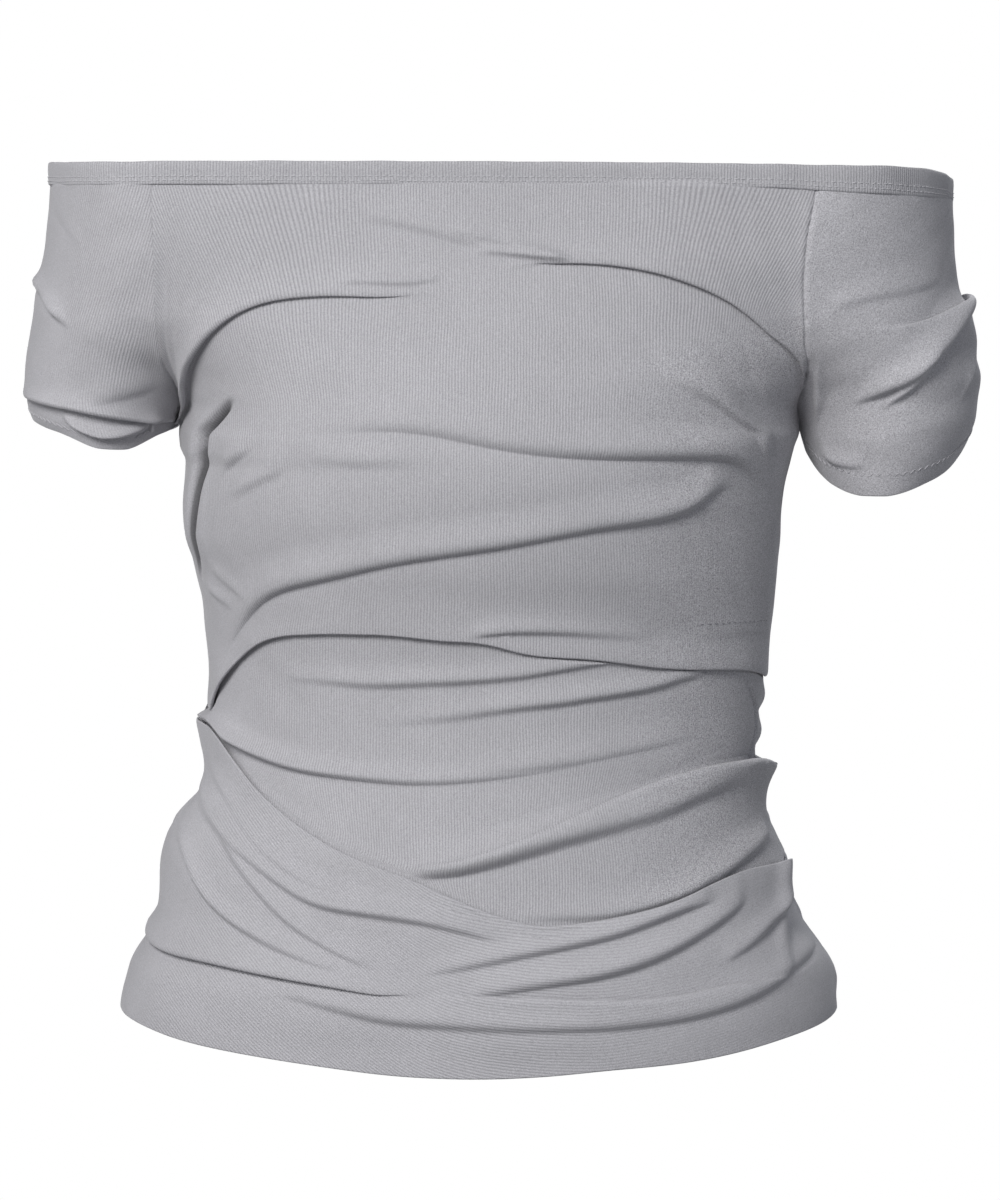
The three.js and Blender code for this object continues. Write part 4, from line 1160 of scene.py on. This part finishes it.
jerseyLook = {
    "colour": (0.41, 0.405, 0.43),
    "ribPitch": 1.35 * mm,
    "ribShade": 0.25,  # how much darker the valleys between ribs are
    "ribHeight": 0.00022,
    "ribWander": 0.0011,  # how far a rib strays from its place, and how often for each metre
    "ribStrays": 60.0,
    "ribFade": (0.03, 0.1),  # from where to where the ribs grow faint towards the left
    "ribFront": (0.046, 0.066),  # and how far in front of the side plane they grow clear
    "ribYoke": (3.0, 0.26),  # how much further left on the yoke: a slope of the height, and a start
    "faintest": 0.3,  # what stays of the ribs on the left, and at the sides
    "faintSide": 0.12,
    "fleckSize": 1900.0,  # grains for each metre
    "fleckShade": 0.22,
    "fuzzSize": 0.95,  # grains of the nap on the left, where the ribs fade, as a share of the fleck's
    "fuzzShade": 0.46,
    # Under the shade painted into a groove, this share of the colour stays.
    "paintedShadeFloor": 0.2,  # what stays of the colour at the bottom of a groove
    "cloudSize": 34.0,  # faint clouds in its colour, for each metre, and their darkest and lightest
    "cloudShade": (0.975, 1.02),
    "bump": 0.55,
    "grainHeight": 1.2,  # of the grains, as a share of the ribs'
    "roughness": 0.88,
    "sheen": 0.18,
    "sheenRoughness": 0.45,
    "specular": 0.22,
}


# The ribs' height, 0 in a valley and 1 on a rib: a sine over the map's first direction, which wanders a bit.
def ribsOf(tree, place, look):
    uv = addNode(tree, "ShaderNodeUVMap", {"uv_map": "cloth"})
    across = addNode(tree, "ShaderNodeSeparateXYZ", i0=uv.outputs["UV"]).outputs["X"]
    size = look["ribWander"]
    stray = mathOf(tree, "MULTIPLY_ADD", noiseOf(tree, place, look["ribStrays"], 2.0), size, -size / 2)
    turns = mathOf(tree, "MULTIPLY", mathOf(tree, "ADD", across, stray), 2 * math.pi / look["ribPitch"])
    return mapped(tree, mathOf(tree, "SINE", turns), -1.0, 0.6)


# How clear the ribs are over the cloth, and how much nap takes their place. They fade by smooth steps to the
# left, further out the higher they are on the yoke, and towards the side seams.
def ribShare(tree, place, look):
    at = addNode(tree, "ShaderNodeSeparateXYZ", i0=place)
    yoke = mathOf(tree, "MAXIMUM", mathOf(tree, "MULTIPLY_ADD", at.outputs["Z"], *look["ribYoke"]), 0.0)
    leftward = mathOf(tree, "SUBTRACT", at.outputs["X"], yoke)
    smooth = {"interpolation_type": "SMOOTHSTEP"}
    clear = mapped(tree, leftward, *look["ribFade"], 1.0, look["faintest"], **smooth)
    depth = mathOf(tree, "ABSOLUTE", at.outputs["Y"])
    front = mapped(tree, depth, *look["ribFront"], look["faintSide"], 1.0, **smooth)
    return mathOf(tree, "MULTIPLY", clear, front), mapped(tree, clear, 1.0, look["faintest"])


# Grains by fine noise, with the coarser nap over them where the ribs fade.
def grainOf(tree, place, nap, look):
    fleck = noiseOf(tree, place, look["fleckSize"], 3.0, 0.65)
    fuzz = noiseOf(tree, place, look["fleckSize"] * look["fuzzSize"], 2.0, 0.6)
    shade, fuzzShade = look["fleckShade"], look["fuzzShade"]
    fleck = mapped(tree, fleck, 0.3, 0.7, 1 - shade, 1 + shade, clamp=False)
    fuzz = mapped(tree, fuzz, 0.3, 0.7, -fuzzShade, fuzzShade, clamp=False)
    return mathOf(tree, "MULTIPLY_ADD", fuzz, nap, fleck)


# Rib jersey: ribs and grain, both in colour and in relief, broad faint clouds, shade painted into the colour
# of the grooves, and a soft sheen.
def jersey(name, **changes):
    look = {**jerseyLook, **changes}
    material = bpy.data.materials.new(name)
    material.use_nodes = True
    tree = material.node_tree
    tree.nodes.clear()
    place = addNode(tree, "ShaderNodeTexCoord").outputs["Object"]
    clear, nap = ribShare(tree, place, look)
    height = ribsOf(tree, place, look)
    ribs = addNode(tree, "ShaderNodeMix", {"data_type": "FLOAT"}, i0=clear, i2=0.75, i3=height)
    ribs = ribs.outputs[0]
    grain = grainOf(tree, place, nap, look)
    cloud = mapped(tree, noiseOf(tree, place, look["cloudSize"], 4.0), 0.3, 0.7, *look["cloudShade"])
    # Shade painted along a groove, read from the piece's own attribute, darkens the colour.
    groove = addNode(tree, "ShaderNodeAttribute", {"attribute_name": "shade"}).outputs["Fac"]
    paintedShadeScale = mapped(tree, groove, 0.0, 1.0, 1.0, look["paintedShadeFloor"])
    lit = mathOf(tree, "MULTIPLY", mathOf(tree, "MULTIPLY", grain, cloud), paintedShadeScale)
    light = (*look["colour"], 1)
    dark = (*(c * (1 - look["ribShade"]) for c in look["colour"]), 1)
    ribColour = addNode(tree, "ShaderNodeMix", {"data_type": "RGBA"}, i0=ribs, i6=dark, i7=light)
    colour = addNode(
        tree, "ShaderNodeVectorMath", {"operation": "SCALE"}, i0=ribColour.outputs[2], Scale=lit,
    )
    relief = mathOf(tree, "MULTIPLY_ADD", grain, look["grainHeight"], ribs)
    bump = addNode(tree, "ShaderNodeBump", Strength=look["bump"], Distance=look["ribHeight"], Height=relief)
    cloth = addNode(
        tree, "ShaderNodeBsdfPrincipled", Base_Color=colour.outputs[0], Normal=bump.outputs[0],
        Roughness=look["roughness"], Sheen_Weight=look["sheen"], Sheen_Roughness=look["sheenRoughness"],
        Specular_IOR_Level=look["specular"],
    )
    addNode(tree, "ShaderNodeOutputMaterial", i0=cloth.outputs[0])
    return material


# Sewing thread: plain, with a little sheen.
def threadMaterial(name, colour):
    material = bpy.data.materials.new(name)
    material.use_nodes = True
    tree = material.node_tree
    tree.nodes.clear()
    sewing = addNode(
        tree, "ShaderNodeBsdfPrincipled", Base_Color=(*colour, 1), Roughness=0.75, Sheen_Weight=0.15,
    )
    addNode(tree, "ShaderNodeOutputMaterial", i0=sewing.outputs[0])
    return material


bodyCloth = jersey("body_jersey")
bandCloth = jersey("band_jersey", colour=(0.40, 0.396, 0.42), ribShade=0.24)
wrapCloth = jersey("wrap_jersey", ribShade=0.2, fuzzShade=0.12, ribFade=(-0.02, 0.09))
sleeveCloth = jersey("sleeve_jersey", ribShade=0.09, ribHeight=0.00015, fuzzShade=0.3, ribFade=(-0.9, -0.8))
thread = threadMaterial("thread", (0.43, 0.425, 0.45))
darkThread = threadMaterial("dark_thread", (0.16, 0.16, 0.18))
print("materials made")


# Where the cloth of a piece starts, a little way under the neck band.
def underBand(surface):
    def height(column):
        x = surface(column, 0 * column)[..., 0]
        return neckline(x) - bandDepth(x) + bandLook["overlap"]
    return {"height": height}


# A line moved up by so much.
def movedLine(line, by):
    return {**line, "height": lambda column: line["height"](column) + by}


# Lines kept in order from the top down, at least a little apart, where they run together at the sides.
def inOrder(lines, clear):
    ordered = []
    for k, line in enumerate(lines):
        def height(column, k=k, line=line):
            z = line["height"](column)
            for j in range(k):
                z = np.minimum(z, ordered[j]["height"](column) - clear * (k - j))
            return z
        ordered.append({**line, "height": height})
    return ordered


# The wrap's ribs run along the drape, down from the right hip and level or up to the left.
wrapRibs = {
    "level": -340,
    "run": smoothCurve(
        [-180, -150, -120, -90, -60, -30, 0, 40, 80, 120, 160],
        [0, -36, -68, -92, -111, -124, -131, -134, -130, -120, -106],
    ),
    "spread": smoothCurve([-170, -100, -20, 160], [0.66, 0.78, 1, 1]),  # how close they lie
}

# The ribs of the yoke and the bodice fan out towards the sides, above a height.
ribFan = {"share": 0.3, "from": 50, "to": 142, "foot": -105}


# Makes one cloth piece from its plan, and prints its rows, columns and size. Its map is the way along its
# rows and down its columns, and on the wrap the way across its slanting ribs and along its rows.
def makeCloth(plan, withPieces=()):
    points, base, normal, shade = clothGrid(plan)
    along, down = lengthsOf(base)
    x, z = base[..., 0], base[..., 2]
    fan = ribFan["share"] * plan.get("mirror", 1) * np.sign(x)
    fan = fan * smoothStep(np.abs(x), ribFan["from"], ribFan["to"])
    along = along - fan * np.maximum(0, z - ribFan["foot"])
    if plan.get("ribs") == "wrap":
        x, z = points[..., 0], points[..., 2]
        along, down = (z - wrapRibs["level"] - wrapRibs["run"](x)) * wrapRibs["spread"](x), along
    full = withAllowance(points, base, normal)
    # The map's third number carries the shade painted along a groove.
    uv = np.pad(np.stack([along, down, shade / mm], -1), ((0, 0), (3, 3), (0, 0)), mode="edge")
    piece = clothWall(plan["name"], full, uv, form["thickness"], plan["material"])
    a, b = np.diff(full[:-1], axis=1), np.diff(full[:, :-1], axis=0)
    size = np.linalg.norm(np.cross(a, b), axis=-1).sum() * mm * mm
    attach(piece, "root")
    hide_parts(plan["node"])
    rows, columns = points.shape[:2]
    print(plan["name"], "rows", rows, "columns", columns, "cloth", round(float(size), 4), "m2")
    return piece


# Short stitches as small rounded beads: a pole, four rings of six, and a pole, along each from start to end.
def stitches(name, start, end, normal, radius, material):
    count = len(start)
    along = end - start
    side = unit(np.cross(normal, along))
    share = np.array([0.08, 0.3, 0.7, 0.92])
    swell = np.array([0.6, 1.0, 1.0, 0.6])
    turn = np.arange(6) * math.pi / 3
    rise = np.sin(math.pi * share) * radius * 0.5
    centre = start[:, None] + along[:, None] * share[:, None] + normal[:, None] * rise[:, None]
    cosine, sine = np.cos(turn)[:, None], np.sin(turn)[:, None]
    ring = cosine * side[:, None, None] + sine * normal[:, None, None]
    rings = centre[:, :, None] + ring * (radius * swell)[:, None, None]
    vertices = np.concatenate([start[:, None], rings.reshape(count, 24, 3), end[:, None]], 1)
    k = np.arange(6)
    n = (k + 1) % 6
    first = np.stack([1 + k, 1 + n, 7 + n, 7 + k], 1)
    band = np.concatenate([first, first + 6, first + 12])
    caps = np.concatenate([np.stack([0 * k, 1 + n, 1 + k], 1), np.stack([0 * k + 25, 19 + k, 19 + n], 1)])
    offset = (np.arange(count) * 26)[:, None, None]
    quads = (band[None] + offset).reshape(-1, 4)
    triangles = (caps[None] + offset).reshape(-1, 3)
    vertices = vertices.reshape(-1, 3)
    piece = meshOf(name, vertices, quads, triangles, vertices[:, :2] * 0, material)
    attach(piece, "root")
    return piece


# Neck band
bandLook = {
    "section": [  # out and down, round the folded binding
        [-1.1, -0.5], [-0.6, 0], [0.3, 0.05], [0.85, -0.3], [1.1, -1.2], [1.2, -3.4], [1.1, -5.4],
        [1.0, -6.4], [1.15, -7.4], [1.0, -8.4], [1.12, -9.4], [0.95, -10.1], [0.35, -10.5],
        [-0.4, -10.3], [-1.2, -9.8], [-1.4, -5],
    ],
    "spacing": 2.0,
    "stitchRows": [-6.6, -8.5],
    "stitchLength": 2.3,
    "stitchPitch": 3.1,
    "threadRadius": 0.24,
    "stitchProud": 1.12,
    "stitchStray": 0.12,
    "overlap": 0.4,  # how far the cloth runs up behind it
    "pathAt": -5.0,  # height of the path, from the neckline
    "ahead": 1.5,  # how far ahead its way is looked for
    "evening": 8,  # how far along the path its corners are rounded
    "depth": 10.5,  # of the section, stretched to the band's own depth
    "waves": [(0.16, 23, 0), (0.12, 41, 1)],  # size, number round the neck and start of each
    "waveHeight": 0.6,  # of the waves up and down, as a share of those in and out
}


# The closed path of the neckline: front, left sleeve, back and right sleeve in turn, then evened out.
def necklinePath():
    runs = []
    for surface, way in (
        (frontForm, 1), (sleeveForms["left"], 1), (backForm, -1), (sleeveForms["right"], -1),
    ):
        column = way * np.linspace(-1, 1, 401)[:-1]
        runs.append(surface(column, bandLook["pathAt"] + 0 * column))
    path = np.concatenate(runs)
    step = np.linalg.norm(np.roll(path, -1, 0) - path, axis=1)
    at = np.concatenate([[0], np.cumsum(step)])
    closed = np.concatenate([path, path[:1]])
    count = round(at[-1] / bandLook["spacing"])
    even = np.linspace(0, at[-1], count, endpoint=False)
    path = np.stack([np.interp(even, at, closed[:, k]) for k in range(3)], 1)
    for _ in range(round(2 * (bandLook["evening"] / bandLook["spacing"]) ** 2)):
        path = (np.roll(path, 1, 0) + 2 * path + np.roll(path, -1, 0)) / 4
    return path, even, at[-1]


neckPath, neckAt, neckLength = necklinePath()


# Places on the band: how far along it, how far down, and how far proud of its path, with slow waves added.
def onBand(along, down, proud):
    at = np.concatenate([neckAt, [neckLength]])
    closed = np.concatenate([neckPath, neckPath[:1]])
    along = np.mod(along, neckLength)
    further = np.mod(along + bandLook["ahead"], neckLength)
    place = np.stack([np.interp(along, at, closed[:, k]) for k in range(3)], -1)
    ahead = np.stack([np.interp(further, at, closed[:, k]) for k in range(3)], -1)
    out = np.cross(unit(ahead - place), np.array([0, 0, 1.0]))
    out[..., 2] = 0
    out = unit(out)
    turn = along * 2 * math.pi / neckLength
    wave = sum(size * np.sin(turn * number + start) for size, number, start in bandLook["waves"])
    place = place + out * (np.asarray(proud) + wave)[..., None]
    x = place[..., 0]
    place[..., 2] = neckline(x) + down * bandDepth(x) / bandLook["depth"] + bandLook["waveHeight"] * wave
    return place, out


# The band: its section carried round the neckline.
def makeBand():
    section = np.array(bandLook["section"])
    along = neckAt[:, None] + 0 * section[:, 0]
    points, _ = onBand(along, section[:, 1] + 0 * along, section[:, 0] + 0 * along)
    stations, around = points.shape[:2]
    index = np.arange(stations * around).reshape(stations, around)
    ahead, beside = np.roll(index, -1, 0), np.roll(index, -1, 1)
    both = np.roll(ahead, -1, 1)
    quads = np.stack([index, beside, both, ahead], -1).reshape(-1, 4)
    roundSection = np.concatenate([[0], np.cumsum(np.linalg.norm(np.diff(section, axis=0), axis=1))])
    uv = np.stack([along, roundSection + 0 * along], -1).reshape(-1, 2)
    vertices = points.reshape(-1, 3)
    piece = meshOf("cloth_neck_band", vertices, quads, np.zeros((0, 3), int), uv, bandCloth)
    # The last quads end where the first began, so their far corners take the full length in the map.
    for corner in (4 * ((stations - 1) * around + np.arange(around))[:, None] + [2, 3]).ravel():
        piece.data.uv_layers[0].data[int(corner)].uv[0] += neckLength * mm
    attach(piece, "root")
    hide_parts("neck_band")
    return piece


# Two rows of stitches along the band's lower half.
def makeBandStitches():
    starts, ends, normals = [], [], []
    proud = bandLook["stitchProud"]
    for k, down in enumerate(bandLook["stitchRows"]):
        count = round(neckLength / bandLook["stitchPitch"])
        along = (np.arange(count) + 0.5 * k) * neckLength / count
        along = along + chance.normal(0, bandLook["stitchStray"], count)
        a, out = onBand(along, down + 0 * along, proud + 0 * along)
        b, _ = onBand(along + bandLook["stitchLength"], down + 0 * along, proud + 0 * along)
        starts.append(a)
        ends.append(b)
        normals.append(out)
    rows = map(np.concatenate, (starts, ends, normals))
    piece = stitches("stitch_neck_band", *rows, bandLook["threadRadius"], thread)
    return piece


bandStitches = makeBandStitches()
makeBand()
print("neck band made, round", round(neckLength), "mm")

# Front, in its three layers. A plan says which form a piece lies on, its lift, the lines its rows run between
# from the top down, the number of rows between them and of columns, and the returns at its free edges.
frontPlan = {
    "seams": [(-1, "right"), (-1, "left")],
    "surface": frontForm,
    "unit": form["frontUnit"],
}
bodicePlan = {
    **frontPlan,
    "name": "cloth_front_bodice",
    "node": "front_bodice",
    "material": bodyCloth,
    "flat": (0.42, 0.23),
    "held": "draped",
    "lift": bodiceLift,
    "turned": yoke,
    "turnedAt": 1,
    "warp": alongGroove,
    # The groove's shadow is painted into the cloth's colour.
    "shade": paintedGrooveShade,
    "extra": sideGroove["column"] + 0.0034 * np.array([-7, -5, -3, -1, 0, 1, 3, 5, 7]),
    "lines": [underBand(frontForm), yoke["line"], bust["line"], rib["line"], bodiceLine],
    "counts": [66, 66, 48, 48],
    "columns": 284,
    "topReturn": "band",
    "bottomReturn": "lip",
}
waistPlan = {
    **frontPlan,
    "name": "cloth_front_waist",
    "node": "front_waist",
    "material": bodyCloth,
    "flat": (0.39, 0.12),
    "held": "gathered",
    "lift": waistLift,
    "turned": pleat,
    "turnedAt": 4,
    "lines": inOrder([
        movedLine(bodiceLine, 9), movedLine(bodiceLine, -1), movedLine(roll["line"], 4.5), roll["line"],
        pleat["line"], movedLine(wrapLine, 2), movedLine(wrapLine, -6),
    ], 2.2),
    "counts": [5, 62, 10, 34, 32, 6],
    "columns": 270,
}
wrapPlan = {
    **frontPlan,
    "name": "cloth_front_hip_wrap",
    "node": "front_hip_wrap",
    "material": wrapCloth,
    "flat": (0.44, 0.14),
    "held": "draped",
    "lift": wrapLift,
    "turned": hemTurn,
    "turnedAt": 1,
    "lines": [wrapLine, hemTurn["line"], hemLine],
    "counts": [122, 44],
    "columns": 290,
    "topReturn": "flat",
    "bottomReturn": "hem",
    "ribs": "wrap",
}


# The short row of stitches at the left of the bodice, above its edge.
bodiceStitch = {"x": [89, 109, 121], "z": [-205, -205.5, -207.2], "count": 14, "radius": 0.2, "proud": 0.1}


# The row's line is laid over the bodice, and every second step along it is a stitch.
def makeBodiceStitches():
    look = bodiceStitch
    x = np.linspace(look["x"][0], look["x"][-1], look["count"])
    z = np.interp(x, look["x"], look["z"])
    place = frontLine(np.stack([x, z, 0 * x], 1))
    along = np.linspace(place["start"], place["end"], 2 * look["count"])
    height = place["height"](along)
    normal = normalOf(frontForm, along, height)
    spot = frontForm(along, height) + normal * (bodiceLift(along, height) + look["proud"])[:, None]
    piece = stitches("stitch_bodice", spot[0:-1:2], spot[1::2], normal[0:-1:2], look["radius"], darkThread)
    return piece


makeCloth(bodicePlan, [makeBodiceStitches()])
makeCloth(waistPlan)
makeCloth(wrapPlan)
print("front made")

# Back: one panel, its gathers drawn together at the side seams
backPlan = {
    "name": "cloth_back_panel",
    "node": "back_panel",
    "material": bodyCloth,
    "flat": (0.42, 0.39),
    "held": "gathered",
    "seams": [(1, "left"), (1, "right")],
    "surface": backForm,
    "lift": backLift,
    "mirror": -1,
    "lines": [
        underBand(backForm),
        {"height": lambda column: form["armpit"] + 9 + 0 * column},
        {"height": lambda column: hemEdge[0][1] - 1.0 * np.cos(column * math.pi / 2) ** 2},
    ],
    "counts": [78, 176],
    "columns": 272,
    "unit": form["frontUnit"],
    "topReturn": "band",
    "bottomReturn": "hem",
}
makeCloth(backPlan)
print("back made")

# Sleeves, with a zigzag row of stitches round each cuff
cuffStitch = {"pitch": 1.9, "width": 1.8, "radius": 0.17, "proud": 0.12, "ends": 0.97, "samples": 3000}


# A sleeve's plan: its columns run round the arm, from seam to seam.
def sleevePlan(side):
    look = sleeveLook[side]
    seams = [(-1, side), (1, side)]
    return {
        "name": f"cloth_{side}_sleeve",
        "node": f"{side}_sleeve",
        "material": sleeveCloth if side == "left" else bodyCloth,
        "flat": look["flat"],
        "held": "draped",
        "seams": seams if side == "left" else seams[::-1],
        "surface": sleeveForms[side],
        "lift": partial(sleeveLift, side),
        "turned": look["turned"],
        "turnedAt": 1,
        "mirror": outward[side],
        "lines": [underBand(sleeveForms[side]), look["turned"]["line"], {"height": cuffs[side]}],
        "counts": look["counts"],
        "columns": 216,
        "unit": form["sleeveUnit"],
        "topReturn": "band",
        "bottomReturn": "hem",
    }


# Places on a sleeve's cloth, and its normals there.
def onSleeve(side, around, z, proud):
    surface = sleeveForms[side]
    normal = normalOf(surface, around, z) * outward[side]
    return surface(around, z) + normal * (sleeveLift(side, around, z) + proud)[..., None], normal


# The row's corners lie a pitch apart round the cuff, by turns above and below its line.
def makeCuffStitches(side):
    rise, pitch = sleeveLook[side]["stitchRise"], cuffStitch["pitch"]
    around = np.linspace(-cuffStitch["ends"], cuffStitch["ends"], cuffStitch["samples"])
    place, _ = onSleeve(side, around, cuffs[side](around) + rise, 0 * around)
    at = np.concatenate([[0], np.cumsum(np.linalg.norm(np.diff(place, axis=0), axis=1))])
    count = int(at[-1] / pitch)
    spot = np.interp(np.arange(count) * pitch, at, around)
    swing = np.where(np.arange(count) % 2 == 0, 0.5, -0.5) * cuffStitch["width"]
    height = cuffs[side](spot) + rise + swing
    corner, normal = onSleeve(side, spot, height, cuffStitch["proud"] + 0 * spot)
    name = f"stitch_{side}_cuff"
    piece = stitches(name, corner[:-1], corner[1:], normal[:-1], cuffStitch["radius"], thread)
    return piece


for sleeveSide in outward:
    makeCloth(sleevePlan(sleeveSide), [makeCuffStitches(sleeveSide)])
print("sleeves made")

# Studio: white all round, a large soft light from the front and above on the right, weaker ones from both
# sides and from below, and one behind.
studio = {
    "floorHeight": -0.66,
    "floorReach": 4,
    "aimDrop": 0.2,  # how far below the neckline the lights aim
    "ambient": (0.155, 0.158, 0.17),
    "lights": {
        "key": {"place": (-0.9, -2.35, 1.25), "size": 1.15, "power": 79.0, "colour": (1, 0.995, 0.98)},
        "fill": {"place": (2.2, -1.2, 0.4), "size": 1.4, "power": 6.0, "colour": (0.86, 0.92, 1)},
        "side": {"place": (-2.3, -0.9, 0.4), "size": 1.4, "power": 12.0, "colour": (1, 1, 1)},
        "low": {"place": (0.2, -2.4, -0.9), "size": 1.6, "power": 5.0, "colour": (1, 1, 1)},
        "back": {"place": (0.7, 2.4, 1.1), "size": 1.6, "power": 42.0, "colour": (0.95, 0.97, 1)},
    },
}


# A round light that aims a little below the neckline's middle.
def areaLight(name, place, size, power, colour):
    data = bpy.data.lights.new(name, "AREA")
    data.shape = "DISK"
    data.size = size
    data.energy = power
    data.color = colour
    light = bpy.data.objects.new(name, data)
    light.location = place
    light.visible_camera = False
    aim = -light.location
    aim.z -= studio["aimDrop"]
    light.rotation_euler = aim.to_track_quat("-Z", "Y").to_euler()
    bpy.context.scene.collection.objects.link(light)


for lightName, lightLook in studio["lights"].items():
    areaLight(lightName, **lightLook)

# The camera sees plain white behind the top, and the top itself gets a dim light from all round.
world = bpy.data.worlds.new("studio")
world.use_nodes = True
worldTree = world.node_tree
worldTree.nodes.clear()
white = addNode(worldTree, "ShaderNodeBackground", Color=(1, 1, 1, 1), Strength=1.0)
dim = addNode(worldTree, "ShaderNodeBackground", Color=(*studio["ambient"], 1), Strength=1.0)
rays = addNode(worldTree, "ShaderNodeLightPath")
blend = addNode(
    worldTree, "ShaderNodeMixShader", i0=rays.outputs["Is Camera Ray"], i1=dim.outputs[0],
    i2=white.outputs[0],
)
addNode(worldTree, "ShaderNodeOutputWorld", i0=blend.outputs[0])
bpy.context.scene.world = world

# A white floor that glows by itself, and takes and gives no shade
reach = studio["floorReach"]
floorMesh = bpy.data.meshes.new("floor")
floorMesh.from_pydata(
    [(-reach, -reach, 0), (reach, -reach, 0), (reach, reach, 0), (-reach, reach, 0)], [], [(0, 1, 2, 3)],
)
floor = bpy.data.objects.new("floor", floorMesh)
floor.location.z = studio["floorHeight"]
floorPaint = bpy.data.materials.new("floor")
floorPaint.use_nodes = True
floorPaint.node_tree.nodes.clear()
floorGlow = addNode(floorPaint.node_tree, "ShaderNodeEmission", Color=(1, 1, 1, 1), Strength=1.0)
addNode(floorPaint.node_tree, "ShaderNodeOutputMaterial", i0=floorGlow.outputs[0])
floorMesh.materials.append(floorPaint)
floor.visible_diffuse = False
floor.visible_shadow = False
bpy.context.scene.collection.objects.link(floor)

# Camera: the photo's place, level with the neckline and looking down a little
view = {"distance": 2.2, "tilt": 5.222, "lens": 143.5, "sensor": 36}
cameraData = bpy.data.cameras.new("camera")
cameraData.lens = view["lens"]
cameraData.sensor_width = view["sensor"]
camera = bpy.data.objects.new("camera", cameraData)
camera.location = (0, -view["distance"], 0)
camera.rotation_euler = (math.radians(90 - view["tilt"]), 0, 0)
bpy.context.scene.collection.objects.link(camera)
bpy.context.scene.camera = camera
bpy.context.scene.view_settings.view_transform = "Standard"
bpy.context.scene.view_settings.look = "None"

bpy.context.view_layer.update()
print("scene ready")
